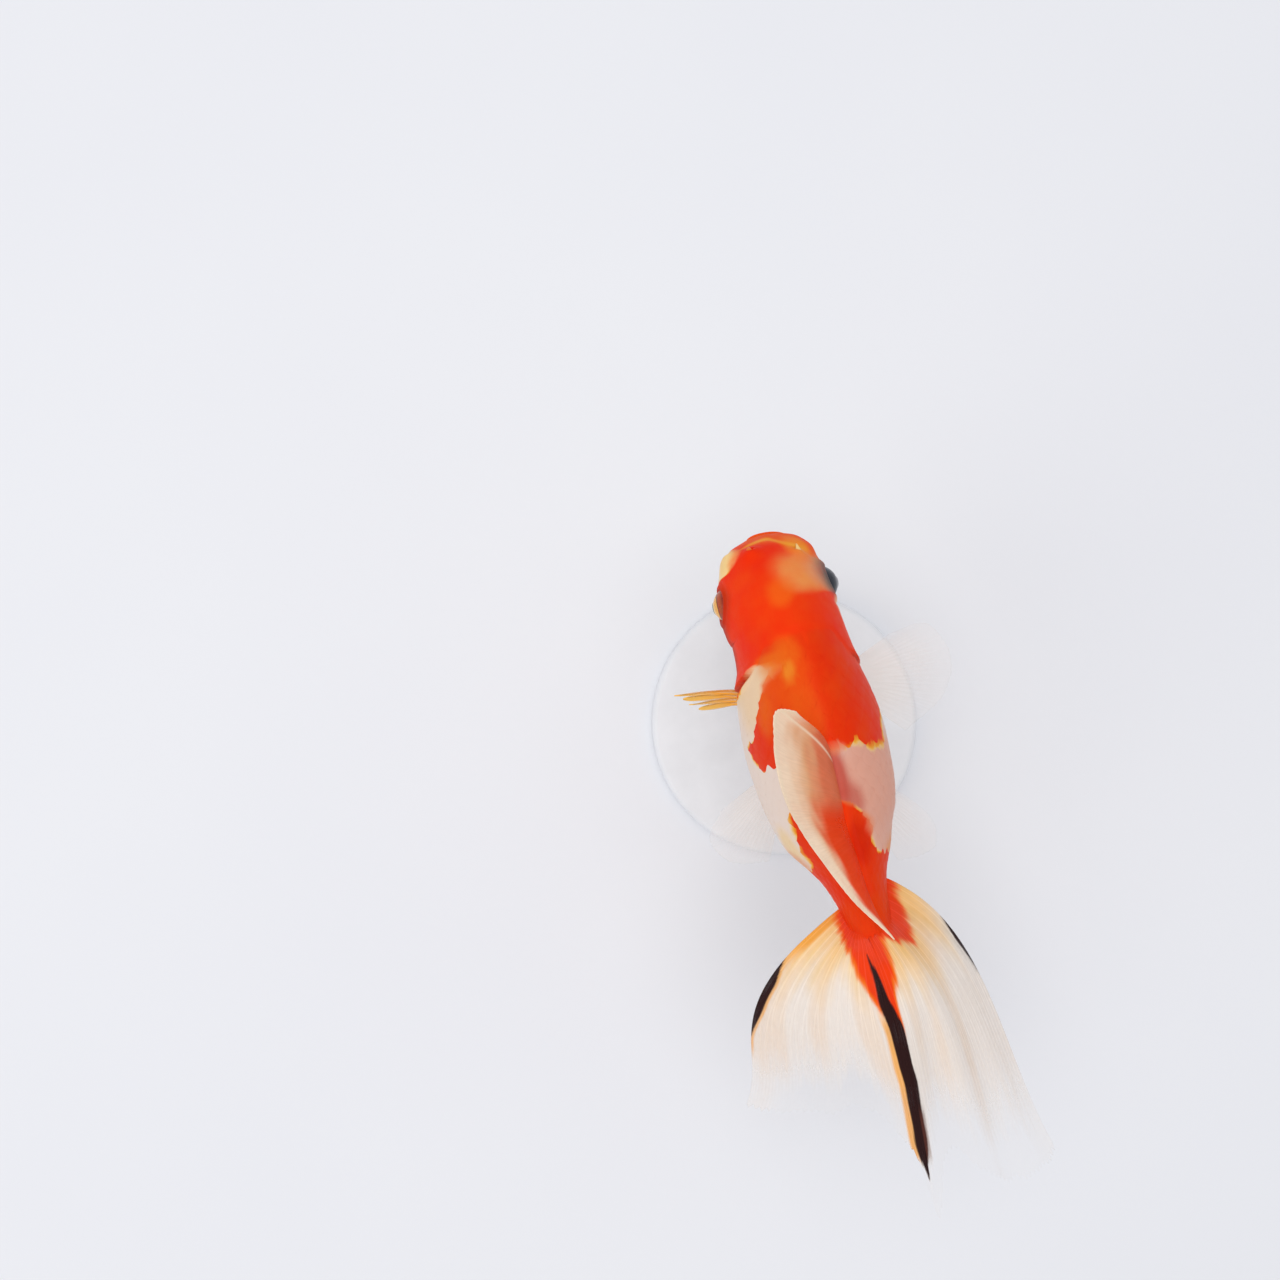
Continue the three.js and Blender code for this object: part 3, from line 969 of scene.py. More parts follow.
class Effects:
    """Node groups that several finishes share."""

    @staticmethod
    def _start(name: str, *inputs: str) -> tuple[Bench, bpy.types.Node, bpy.types.NodeSocket]:
        """Starts a group whose inputs are numbers, but for a Place, and whose result is one number.

        Args:
            name: the group's name.
            *inputs: names of its inputs.

        Returns:
            A bench for the group, its input node and the socket of its result.
        """
        tree = bpy.data.node_groups.new(name, "ShaderNodeTree")
        for label in inputs:
            kind = "NodeSocketVector" if label == "Place" else "NodeSocketFloat"
            tree.interface.new_socket(name=label, in_out="INPUT", socket_type=kind)
        tree.interface.new_socket(name="Result", in_out="OUTPUT", socket_type="NodeSocketFloat")
        bench = Bench(tree)
        return bench, bench.add("NodeGroupInput"), bench.add("NodeGroupOutput").inputs["Result"]

    @staticmethod
    @cache
    def mottle() -> bpy.types.NodeTree:
        """Soft cloudy variation between a low and a high value.

        Returns:
            The group.
        """
        bench, start, result = Effects._start("soft_mottle", "Place", "Scale", "Low", "High")
        cloud = bench.add("ShaderNodeTexNoise")
        bench.feed(cloud, Vector=start.outputs["Place"], Scale=start.outputs["Scale"],
                   Detail=3.0, Roughness=0.55)
        spread = bench.add("ShaderNodeMapRange")
        bench.feed(spread, Value=cloud.outputs["Fac"], From_Min=0.3, From_Max=0.7,
                   To_Min=start.outputs["Low"], To_Max=start.outputs["High"])
        bench.put(result, spread.outputs["Result"])
        return bench.tree

    @staticmethod
    @cache
    def specks() -> bpy.types.NodeTree:
        """Small scattered grains; Amount is the share of them that shows.

        Returns:
            The group.
        """
        bench, start, result = Effects._start("scattered_specks", "Place", "Scale", "Amount")
        cells = bench.add("ShaderNodeTexVoronoi", feature="F1")
        bench.feed(cells, Vector=start.outputs["Place"], Scale=start.outputs["Scale"], Randomness=1.0)
        chance = bench.add("ShaderNodeSeparateColor")
        bench.put(chance.inputs[0], cells.outputs["Color"])
        picked = bench.maths("LESS_THAN", chance.outputs[0], start.outputs["Amount"])
        bench.put(result, bench.times(picked, bench.span(cells.outputs["Distance"], 0.12, 0.3, 1.0, 0.0)))
        return bench.tree

    @staticmethod
    @cache
    def rays() -> bpy.types.NodeTree:
        """Fin rays that fork twice on the way out; 1 on a ray, 0 on the web between.

        Returns:
            The group.
        """
        bench, start, result = Effects._start("forking_rays", "Across", "Along", "Rays", "Width")
        cell = bench.maths("FRACT", bench.times(start.outputs["Across"], start.outputs["Rays"]))
        off = bench.maths("ABSOLUTE", bench.maths("SUBTRACT", cell, 0.5))
        for first, last, reach in FORKS:
            fork = bench.span(start.outputs["Along"], first, last, 0.0, reach)
            off = bench.maths("ABSOLUTE", bench.maths("SUBTRACT", off, fork))
        thin = bench.maths("DIVIDE", off, start.outputs["Width"])
        bench.put(result, bench.span(thin, 0.25, 1.0, 1.0, 0.0))
        return bench.tree


def new_material(name: str) -> tuple[bpy.types.Material, Bench, bpy.types.Node]:
    """A material with a Principled shader.

    Args:
        name: its name.

    Returns:
        The material, a bench for its nodes and its shader.
    """
    material = bpy.data.materials.new(name)
    material.use_nodes = True
    shader = material.node_tree.nodes["Principled BSDF"]
    return material, Bench(material.node_tree), shader


@dataclass(frozen=True)
class FleshFinish:
    """Skin or scales: the red patches over their ground, with ragged straw-coloured edges.

    Blurs soften the edges, glazes lie over them, and a fine grain breaks the highlights.
    """

    name: str
    roughness: tuple[float, float] = (0.42, 0.54)
    edge_scale: float = 420.0
    edge_wander: float = 0.3
    grain: float = 0.25
    grain_scale: float = 2600.0
    rim_sheen: float = 0.0
    specular: float = 0.04
    subsurface: float = 0.1

    def make(self) -> bpy.types.Material:
        """Builds the material.

        Returns:
            The material.
        """
        material, bench, shader = new_material(self.name)
        place = bench.place()
        wander = bench.mottled(place, self.edge_scale, -self.edge_wander, self.edge_wander)
        blur = bench.attribute("soft").outputs["Fac"]
        ragged = bench.times(wander, bench.maths("SUBTRACT", 1.0, blur))
        fire = bench.maths("ADD", bench.attribute("fire").outputs["Fac"], ragged)
        share = bench.span(fire, -1.5, 1.1)
        depth = bench.mottled(place, 150.0, 0.0, 1.0)
        warmer = mingle(Paint.SCARLET.linear, Paint.ORANGE.linear, 0.18)
        scarlet = bench.mix(depth, Paint.SCARLET.solid, opaque(warmer))
        edge = bench.ramp(share, (0.3, Paint.STRAW.linear), (0.46, Paint.AMBER.linear),
                          (0.62, Paint.ORANGE.linear), (0.74, Paint.SCARLET.linear))
        ground = bench.attribute("ground").outputs["Color"]
        fringe = bench.mix(bench.span(share, 0.16, 0.42), ground, edge)
        crisp = bench.mix(bench.span(share, 0.62, 0.8), fringe, scarlet)
        warm = bench.mix(bench.span(share, 0.15, 0.6, 0.0, 0.6), ground, Paint.ORANGE.solid)
        blurred = bench.mix(bench.span(share, 0.4, 0.95), warm, scarlet)
        soft = bench.span(blur, 0.08, 0.4)
        colour = bench.mix(soft, crisp, blurred)
        over = bench.attribute("over")
        cloud = bench.mottled(place, 260.0, 0.8, 1.1)
        cover = bench.times(over.outputs["Alpha"], cloud)
        glow = bench.times(cover, bench.span(share, 0.2, 0.5))
        colour = bench.mix(glow, colour, over.outputs["Color"])
        colour = self._speckle(bench, place, share, bench.maths("SUBTRACT", 1.0, soft), colour)
        # Painted sheen: each scale's rim is lightened a little toward warm white.
        if self.rim_sheen:
            rim = bench.times(bench.attribute("rim").outputs["Fac"], self.rim_sheen)
            colour = bench.mix(rim, colour, (1.0, 0.93, 0.86, 1), "SOFT_LIGHT")
        pores = bench.bump(self.grain, 0.00008, bench.mottled(place, self.grain_scale, 0.0, 1.0))
        bench.feed(shader, Base_Color=colour, Normal=pores, Specular_IOR_Level=self.specular,
                   Roughness=bench.mottled(place, 700.0, *self.roughness),
                   Subsurface_Weight=self.subsurface, Subsurface_Radius=(1.0, 0.45, 0.3),
                   Subsurface_Scale=0.0012)
        return material

    def _speckle(self, bench: Bench, place: object, share: object, crispness: object,
                 colour: object) -> bpy.types.NodeSocket:
        """A few brown specks along the crisp edges of the red patches.

        Args:
            bench: where the nodes are made.
            place: the piece's own coordinates.
            share: how far in the red a place lies.
            crispness: how sharp the edge is there.
            colour: the colour so far.

        Returns:
            The colour with the specks.
        """
        near = bench.times(bench.span(share, 0.2, 0.45), bench.span(share, 0.75, 0.95, 1.0, 0.0))
        specks = bench.group(Effects.specks(), Place=place, Scale=900.0, Amount=0.05)
        mask = bench.times(bench.times(near, crispness), specks)
        return bench.mix(bench.times(mask, 0.7), colour, Paint.BARK.solid)


@dataclass(frozen=True)
class WebFinish:
    """A fin's web: painted tints with fine rays, and an opacity of its own."""

    name: str
    rays: float
    ray_width: float = 0.12
    ray_paint: Paint = Paint.VEIL
    ray_share: float = 0.14
    ray_cover: float = 0.16
    raise_rays: float = 0.14
    roughness: tuple[float, float] = (0.34, 0.48)

    def make(self) -> bpy.types.Material:
        """Builds the material.

        Returns:
            The material.
        """
        material, bench, shader = new_material(self.name)
        place = bench.place()
        fan = bench.add("ShaderNodeUVMap", uv_map="fan")
        parts = bench.add("ShaderNodeSeparateXYZ")
        bench.put(parts.inputs[0], fan.outputs["UV"])
        lines = bench.group(Effects.rays(), Across=parts.outputs["X"], Along=parts.outputs["Y"],
                            Rays=self.rays, Width=self.ray_width)
        tint = bench.attribute("tint")
        streaks = bench.add("ShaderNodeTexNoise")
        lanes = bench.add("ShaderNodeMapping")
        bench.feed(lanes, Vector=fan.outputs["UV"], Scale=(self.rays * 9.0, 5.0, 1.0))
        bench.feed(streaks, Vector=lanes.outputs["Vector"], Scale=1.0, Detail=2.0)
        lane = bench.span(streaks.outputs["Fac"], 0.3, 0.7)
        mask = bench.times(lines, bench.maths("ADD", 0.55, bench.times(lane, 0.45)))
        bright = bench.add("ShaderNodeRGBToBW")
        bench.put(bright.inputs[0], tint.outputs["Color"])
        pale = bench.times(bench.times(mask, self.ray_share), bright.outputs[0])
        colour = bench.mix(pale, tint.outputs["Color"], self.ray_paint.solid)
        cloud = bench.mottled(place, 140.0, 0.82, 1.08)
        thin = bench.times(tint.outputs["Alpha"], cloud)
        thin = bench.times(thin, bench.maths("ADD", 0.95, bench.times(lane, 0.08)))
        ray_cover = bench.times(bench.times(mask, self.ray_cover), tint.outputs["Alpha"])
        cover = bench.maths("MINIMUM", bench.maths("ADD", thin, ray_cover), 1.0)
        bench.feed(shader, Base_Color=colour, Alpha=cover, Specular_IOR_Level=0.07,
                   Roughness=bench.mottled(place, 500.0, *self.roughness),
                   Normal=bench.bump(self.raise_rays, 0.0001, mask))
        return material


@dataclass(frozen=True)
class EyeFinish:
    """An eye: pupil, ring, iris, a middle zone and an outer coat under a clear gloss."""

    name: str
    iris: Colour
    ring: Colour
    middle: Colour
    outer: Colour

    def make(self) -> bpy.types.Material:
        """Builds the material.

        Returns:
            The material.
        """
        material, bench, shader = new_material(self.name)
        place = bench.place()
        wander = bench.mottled(place, 900.0, -0.012, 0.012)
        gaze = bench.maths("ADD", bench.attribute("gaze").outputs["Fac"], wander)
        dark = mingle(self.outer, PUPIL, 0.65)
        colour = bench.ramp(gaze, (0.3, self.outer), (0.46, self.middle), (0.6, self.middle), (0.65, dark),
                            (0.7, self.iris), (0.88, self.iris), (0.925, self.ring), (0.945, PUPIL))
        fleck = bench.mottled(place, 3200.0, 0.0, 1.0)
        colour = bench.mix(bench.times(fleck, 0.16), colour, opaque(PUPIL))
        sheen = bench.span(gaze, 0.65, 0.72, 0.0, 0.12)
        metal = bench.times(sheen, bench.span(gaze, 0.92, 0.94, 1.0, 0.0))
        bench.feed(shader, Base_Color=colour, Metallic=metal, Coat_Weight=0.4, Coat_Roughness=0.05,
                   Roughness=bench.mottled(place, 1500.0, 0.24, 0.36), Specular_IOR_Level=0.25)
        return material


@dataclass(frozen=True)
class StandFinish:
    """A stand part: satin paint or brushed steel."""

    name: str
    colour: Colour
    metallic: float
    roughness: tuple[float, float]
    grain: tuple[float, float, float]

    def make(self) -> bpy.types.Material:
        """Builds the material.

        Returns:
            The material.
        """
        material, bench, shader = new_material(self.name)
        lay = bench.add("ShaderNodeMapping")
        bench.feed(lay, Vector=bench.place(), Scale=self.grain)
        place = lay.outputs["Vector"]
        tone = bench.mottled(place, 1.0, 0.0, 1.0)
        shade = mingle(self.colour, (0.0, 0.0, 0.0), 0.06)
        bench.feed(shader, Base_Color=bench.mix(tone, opaque(self.colour), opaque(shade)),
                   Roughness=bench.mottled(place, 1.7, *self.roughness), Metallic=self.metallic,
                   Normal=bench.bump(0.2, 0.00005, tone))
        return material


# ---------------------------------------------------------------- finishing a piece


def take_mesh(name: str, bm: bmesh.types.BMesh) -> bpy.types.Mesh:
    """Turns an edited mesh into a stored one and frees it.

    Args:
        name: the mesh's name.
        bm: the edited mesh.

    Returns:
        The stored mesh.
    """
    mesh = bpy.data.meshes.new(name)
    bm.to_mesh(mesh)
    bm.free()
    return mesh


def add_object(name: str, data: bpy.types.ID) -> bpy.types.Object:
    """Puts an object of a mesh, a lamp or a camera into the scene.

    Args:
        name: the object's name.
        data: what it shows.

    Returns:
        The object.
    """
    thing = bpy.data.objects.new(name, data)
    bpy.context.scene.collection.objects.link(thing)
    return thing


def thicken(bm: bmesh.types.BMesh) -> set[bmesh.types.BMVert]:
    """Doubles an open sheet into a closed one and gives the corners of its new side."""
    grown = bmesh.ops.extrude_face_region(bm, geom=bm.faces[:])
    return {item for item in grown["geom"] if isinstance(item, bmesh.types.BMVert)}


def finish_piece(name: str, bm: bmesh.types.BMesh, material: bpy.types.Material,
                 nodes: tuple[str, ...] = ()) -> bpy.types.Object:
    """Turns a mesh in millimetres into a piece of the model in metres.

    Args:
        name: the piece's name.
        bm: its mesh, which is freed.
        material: what it is dressed in.
        nodes: CAD nodes that it stands for.

    Returns:
        The piece, riding on the root body.
    """
    bmesh.ops.scale(bm, vec=(MM, MM, MM), verts=bm.verts)
    mesh = take_mesh(name, bm)
    mesh.shade_smooth()
    mesh.materials.append(material)
    piece = add_object(name, mesh)
    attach(piece, "root")
    if nodes:
        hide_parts(*nodes)
    LOG.info("%s: %d faces", name, len(mesh.polygons))
    return piece


def grid_shares(bm: bmesh.types.BMesh, across: int, along: int) -> tuple[object, object]:
    """Fills a mesh with a grid and notes each corner's shares across and along.

    Args:
        bm: an empty mesh.
        across: steps from side to side.
        along: steps from end to end.

    Returns:
        The two vertex layers that hold the shares, each from 0 to 1.
    """
    u_layer = bm.verts.layers.float.new("u")
    v_layer = bm.verts.layers.float.new("v")
    bmesh.ops.create_grid(bm, x_segments=across, y_segments=along, size=1.0)
    for vert in bm.verts:
        vert[u_layer] = min(max((vert.co.x + 1) / 2, 0.0), 1.0)
        vert[v_layer] = min(max((vert.co.y + 1) / 2, 0.0), 1.0)
    return u_layer, v_layer


def mark_rims(bm: bmesh.types.BMesh) -> None:
    """Marks the edges where the surface turns sharply, so that shading breaks there."""
    for edge in bm.edges:
        edge.smooth = edge.calc_face_angle(0.0) < math.radians(35)


# ---------------------------------------------------------------- skin


@dataclass
class Skin:
    """The one skin over head, trunk and tail stalk."""

    form: BodyForm
    markings: Markings
    relief: Relief
    around: int = 208
    along: int = 330
    length: float = 64.7
    crowding: float = 1.6
    tail_dome: float = 0.45
    slot: str = "scarlet_skin"
    nodes: tuple[str, ...] = (
        "head", "lower_jaw", "gill_cover_left", "gill_cover_right", "trunk", "tail_stalk")

    def station(self, share: float) -> float:
        """Station at a share of the rows, which crowd toward the snout."""
        return self.length * share**self.crowding

    def share(self, station: float) -> float:
        """Share of the rows at a station."""
        return (max(station, 0.0) / self.length) ** (1 / self.crowding)

    def closed_point(self, station: float, turn: float) -> Vector:
        """Point of the plain form, drawn in to a dome at the tail end.

        Args:
            station: distance back from the snout.
            turn: angle round the section.

        Returns:
            The point in millimetres.
        """
        point = self.form.skin(station, turn)
        past = (station - self.length + self.tail_dome) / self.tail_dome
        if past > 0:
            centre = self.form.place(station, 0.0, 0.0)
            point = centre + (point - centre) * math.sqrt(max(1 - past * past, 0.0))
        return point

    def build(self) -> bpy.types.Object:
        """Builds the skin.

        Returns:
            The finished piece.
        """
        bm = bmesh.new()
        u_layer, v_layer = grid_shares(bm, self.around, self.along)
        bake = bm.loops.layers.uv.new("OFBake")
        for face in bm.faces:
            for loop in face.loops:
                loop[bake].uv = (loop.vert[u_layer], loop.vert[v_layer])
        for vert in bm.verts:
            vert.co = self.closed_point(self.station(vert[v_layer]), self.turn(vert[u_layer]))
        bmesh.ops.remove_doubles(bm, verts=bm.verts, dist=1e-4)
        bmesh.ops.recalc_face_normals(bm, faces=bm.faces)
        bm.normal_update()
        self._raise_features(bm, u_layer, v_layer)
        self._paint(bm, u_layer, v_layer)
        return finish_piece("skin", bm, FleshFinish("goldfish_skin").make(), self.nodes)

    @staticmethod
    def turn(share: float) -> float:
        """Angle round the section at a share of the columns, which start at the belly."""
        return math.tau * share - math.pi / 2

    def _raise_features(self, bm: bmesh.types.BMesh, u_layer: object, v_layer: object) -> None:
        """Moves the skin along its normals by the relief.

        Args:
            bm: the mesh.
            u_layer: its layer of shares across.
            v_layer: its layer of shares along.
        """
        moves = []
        for vert in bm.verts:
            station, turn = self.station(vert[v_layer]), self.turn(vert[u_layer])
            moves.append(vert.normal * self.relief.height(station, turn, vert.co))
        for vert, move in zip(bm.verts, moves):
            vert.co += move

    def _paint(self, bm: bmesh.types.BMesh, u_layer: object, v_layer: object) -> None:
        """Writes the markings into the mesh.

        Args:
            bm: the mesh.
            u_layer: its layer of shares across.
            v_layer: its layer of shares along.
        """
        fire, soft = (bm.verts.layers.float.new(name) for name in ("fire", "soft"))
        ground = bm.verts.layers.float_color.new("ground")
        over = bm.verts.layers.float_color.new("over")
        for vert in bm.verts:
            coat = self.markings.at(self.station(vert[v_layer]), self.turn(vert[u_layer]))
            vert[fire] = coat.fire
            vert[soft] = coat.soft
            vert[ground] = opaque(coat.ground)
            vert[over] = coat.over


# ---------------------------------------------------------------- scales


@dataclass
class ScaleCoat:
    """Overlapping scales from the nape and the gill covers to the tail."""

    skin: Skin
    rows: int = 26
    front_pitch: float = 1.95
    rear_pitch: float = 1.12
    first: float = 17.2
    last: float = 63.4
    overlap: float = 2.15
    breadth: float = 1.2
    across_steps: int = 5
    along_steps: int = 4
    sunk: float = 0.13
    proud: float = 0.05
    thick: float = 0.034
    camber: float = 0.06
    front_width: float = 0.86
    round_from: float = 0.55
    round_length: float = 0.47
    roundness: float = 2.4
    tail_gap: float = 0.35
    own_colour: float = 0.45
    patch: float = 0.003
    seed: int = 7

    def build(self) -> bpy.types.Object:
        """Builds the coat as one joined mesh.

        Returns:
            The finished piece.
        """
        random.seed(self.seed)
        template = self._template()
        bm = bmesh.new()
        names = ("u", "v", "under", "fire", "soft", "rim")
        layers = {name: bm.verts.layers.float.new(name) for name in names}
        colours = {name: bm.verts.layers.float_color.new(name) for name in ("ground", "over")}
        bake = bm.loops.layers.uv.new("OFBake")
        station, column = self.first, 0
        while station < self.last:
            turns = self.skin.form.even_turns(station)
            for row in range(self.rows):
                share = (row + 0.25 + 0.5 * (column % 2)) / self.rows
                turn = turns.at(share)
                if station >= self.skin.relief.first_scale(lift_of(turn)):
                    self._lay(bm, template, station, turn, layers, colours, bake)
            station += self.pitch(station)
            column += 1
        bpy.data.meshes.remove(template)
        finish = FleshFinish("goldfish_scales", roughness=(0.38, 0.5), rim_sheen=0.05, grain=0.12)
        return finish_piece("scale_coat", bm, finish.make())

    def pitch(self, station: float) -> float:
        """Distance from one column of scales to the next."""
        share = (station - self.first) / (self.last - self.first)
        return self.front_pitch + (self.rear_pitch - self.front_pitch) * share

    def _template(self) -> bpy.types.Mesh:
        """One flat closed scale with its shares noted, to be copied.

        Returns:
            The scale.
        """
        bm = bmesh.new()
        grid_shares(bm, self.across_steps, self.along_steps)
        under = bm.verts.layers.float.new("under")
        for vert in thicken(bm):
            vert[under] = 1.0
            vert.co.z -= 0.3
        bmesh.ops.recalc_face_normals(bm, faces=bm.faces)
        mark_rims(bm)
        return take_mesh("scale_template", bm)

    def _lay(self, bm: bmesh.types.BMesh, template: bpy.types.Mesh, station: float, turn: float,
             layers: dict[str, object], colours: dict[str, object], bake: object) -> None:
        """Lays one scale on the body.

        Args:
            bm: the coat so far.
            template: the flat scale.
            station: station of the scale's front.
            turn: angle round the section of its middle.
            layers: the coat's number layers by name.
            colours: the coat's colour layers by name.
            bake: the coat's map layer.
        """
        form = self.skin.form
        before = len(bm.verts)
        faces_before = len(bm.faces)
        bm.from_mesh(template)
        bm.verts.ensure_lookup_table()
        bm.faces.ensure_lookup_table()
        length = min(self.overlap * self.pitch(station), self.skin.length - self.tail_gap - station)
        half = self.breadth * form.girth(station + length / 2) / self.rows / 2
        radius = form.girth(station) / math.tau
        lean = random.uniform(-0.05, 0.05)
        middle = self.skin.markings.at(station + 0.7 * length, turn, random.uniform(-0.2, 0.2))
        for vert in bm.verts[before:]:
            u, v = 2 * vert[layers["u"]] - 1, vert[layers["v"]]
            wide = self._outline(v)
            across = u * half * wide
            along = length * (v - 0.1 * u * u * ease(0.4, 1.0, v))
            spot = (station + along, turn + (across + lean * along) / radius)
            coat = self.skin.markings.at(*spot)
            whole = self.own_colour * (1 - coat.soft)
            vert[layers["fire"]] = (1 - whole) * coat.fire + whole * middle.fire
            vert[layers["soft"]] = coat.soft
            vert[layers["rim"]] = max(ease(0.72, 1.0, v), ease(0.7, 1.0, abs(u)) * ease(0.35, 0.7, v))
            vert[colours["ground"]] = opaque(coat.ground)
            vert[colours["over"]] = coat.over
            height = -self.sunk + (self.sunk - self.proud) * v - self.camber * u * u
            height -= self.thick * (1 - 0.55 * v) * vert[layers["under"]]
            vert.co = form.skin(*spot, height)
        share = ((turn + math.pi / 2) / math.tau) % 1.0, self.skin.share(station)
        for face in bm.faces[faces_before:]:
            for loop in face.loops:
                u, v = loop.vert[layers["u"]] - 0.5, loop.vert[layers["v"]] - 0.5
                loop[bake].uv = (share[0] + u * self.patch, share[1] + v * self.patch)

    def _outline(self, share: float) -> float:
        """Width of a scale at a share of its length: square in front, rounded behind.

        Args:
            share: share of the scale's length, from the front.

        Returns:
            A share of the full width.
        """
        if share < self.round_from:
            swell = math.sin(share / self.round_from * math.pi / 2)
            return self.front_width + (1 - self.front_width) * swell
        past = (share - self.round_from) / self.round_length
        return math.sqrt(max(1 - past**self.roundness, 0.02))


# ---------------------------------------------------------------- fins


@dataclass(frozen=True)
class FinForm:
    """A fin's sheet: rays run from its root line to its margin line.

    The bow scale makes each ray leave the straight by its whole bend, a third of the way out.
    """

    root: Spline
    margin: Spline
    first_bend: tuple[float, float, float]
    last_bend: tuple[float, float, float]
    swell: tuple[float, float, float]
    ripple: float
    folds: float
    bow_scale: float = 6.75
    fold_slant: float = 1.5

    def point(self, across: float, along: float) -> Vector:
        """Point of the sheet's middle.

        Args:
            across: share of the fan, from the first ray to the last.
            along: share of the ray, from root to margin.

        Returns:
            The point in millimetres.
        """
        root = self.root.at(across)
        ray = self.margin.at(across) - root
        bend = Vector(self.first_bend).lerp(Vector(self.last_bend), across)
        bow = self.bow_scale * along * (1 - along) ** 2
        phase = math.tau * self.folds * across + along * self.fold_slant
        wave = math.sin(math.pi * across) * math.sin(phase)
        return root + ray * along + bend * bow + Vector(self.swell) * (self.ripple * along * wave)


class EdgeRay:
    """The first or the last ray of a fin, seen in plan."""

    def __init__(self, form: FinForm, across: float, samples: int = 160) -> None:
        """Notes points along the ray.

        Args:
            form: the fin's sheet.
            across: 0 for the first ray, 1 for the last.
            samples: how many points are noted.
        """
        self.samples = samples
        self.tree = kdtree.KDTree(samples + 1)
        for index in range(samples + 1):
            self.tree.insert(form.point(across, index / samples).to_2d().to_3d(), index)
        self.tree.balance()

    def nearest(self, point: Vector) -> tuple[float, float]:
        """Distance in plan to the ray, and the share along it of its nearest point."""
        _, index, distance = self.tree.find(point.to_2d().to_3d())
        return distance, index / self.samples


@dataclass(frozen=True)
class FinPlace:
    """A place on a fin.

    Across and along are its shares of the fan and of the ray. Each edge ray has the
    distance to it in plan, in millimetres, and the share along it of its nearest point.
    """

    across: float
    along: float
    from_first: float
    first_along: float
    from_last: float
    last_along: float


@dataclass
class Fin:
    """One fin: a thin closed sheet with raised rays."""

    name: str
    form: FinForm
    finish: WebFinish
    nodes: tuple[str, ...]
    slot: str = "fin"
    across_steps: int = 64
    along_steps: int = 36
    root_half: float = 0.34
    rim_half: float = 0.07
    root_swell: float = 0.0
    ray_height: float = 0.022
    ray_half: float = 0.09
    ragged: float = 0.02
    edge_crowding: float = 0.44

    def tint(self, place: FinPlace) -> Tint:
        """Colour and opacity at a place; a kind of fin has its own."""
        fade = 1 - 0.75 * ease(0.35, 1.0, place.along)
        return (*Paint.VEIL.linear, 0.24 * fade)

    def reach(self, across: float) -> float:
        """How much of the full ray shows at a share of the fan.

        Args:
            across: share of the fan, from the first ray to the last.

        Returns:
            A share of the ray.
        """
        cell = abs((across * self.finish.rays * 2) % 1.0 - 0.5) * 2
        long_wave = noise.noise(Vector((across * self.finish.rays * 0.7, 3.1, len(self.name))))
        return 1 - self.ragged * (0.6 * cell + 0.7 * (long_wave + 0.5))

    def ridge(self, across: float, along: float) -> float:
        """Height of the rays, which fork twice, over the web.

        Args:
            across: share of the fan, from the first ray to the last.
            along: share of the ray, from root to margin.

        Returns:
            Height in millimetres.
        """
        off = abs((across * self.finish.rays) % 1.0 - 0.5)
        for first, last, spread in FORKS:
            off = abs(off - spread * ease(first, last, along))
        return self.ray_height * bell(off, self.ray_half) * (1 - 0.85 * along)

    def crowd(self, share: float) -> float:
        """Shares of the fan that lie closer near both edges."""
        return share - self.edge_crowding * math.sin(math.tau * share) / math.tau

    def build(self) -> bpy.types.Object:
        """Builds the fin.

        Returns:
            The finished piece.
        """
        bm = bmesh.new()
        u_layer, v_layer = grid_shares(bm, self.across_steps, self.along_steps)
        facing = bm.verts.layers.float_vector.new("facing")
        tint = bm.verts.layers.float_color.new("tint")
        for vert in bm.verts:
            vert[u_layer] = min(max(self.crowd(vert[u_layer]), 0.0), 1.0)
            u, v = vert[u_layer], vert[v_layer]
            vert.co = self.form.point(u, v * self.reach(u))
        bm.normal_update()
        first, last = EdgeRay(self.form, 0.0), EdgeRay(self.form, 1.0)
        for vert in bm.verts:
            place = FinPlace(vert[u_layer], vert[v_layer], *first.nearest(vert.co), *last.nearest(vert.co))
            vert[tint] = self.tint(place)
            vert[facing] = vert.normal
        front = thicken(bm)
        for vert in bm.verts:
            u, v = vert[u_layer], vert[v_layer]
            half = self.root_half + (self.rim_half - self.root_half) * ease(0.0, 0.75, v)
            half += self.ridge(u, v) + self.root_swell * ease(0.1, 0.0, v)
            vert.co += vert[facing] * (half if vert in front else -half)
        bmesh.ops.recalc_face_normals(bm, faces=bm.faces)
        self.lay_map(bm, u_layer, v_layer, front)
        return finish_piece(self.name, bm, self.finish.make(), self.nodes)

    @staticmethod
    def lay_map(bm: bmesh.types.BMesh, u_layer: object, v_layer: object, front: set) -> None:
        """Lays the front on one half of the map, the back on the other and the rim between.

        Args:
            bm: the mesh.
            u_layer: its layer of shares across.
            v_layer: its layer of shares along.
            front: the corners of its front side.
        """
        fan = bm.loops.layers.uv.new("fan")
        bake = bm.loops.layers.uv.new("OFBake")
        for face in bm.faces:
            sides = [loop.vert in front for loop in face.loops]
            for loop, ahead in zip(face.loops, sides):
                u, v = loop.vert[u_layer], loop.vert[v_layer]
                loop[fan].uv = (u, v)
                spot = Vector((MAP_MARGIN + 0.48 * u, MAP_MARGIN + 0.98 * v))
                if not any(sides):
                    spot.x += 0.5
                elif not all(sides) and not ahead:
                    spot += Vector((MAP_RIM if u > 0.5 else -MAP_RIM, MAP_RIM if v > 0.5 else -MAP_RIM))
                loop[bake].uv = spot


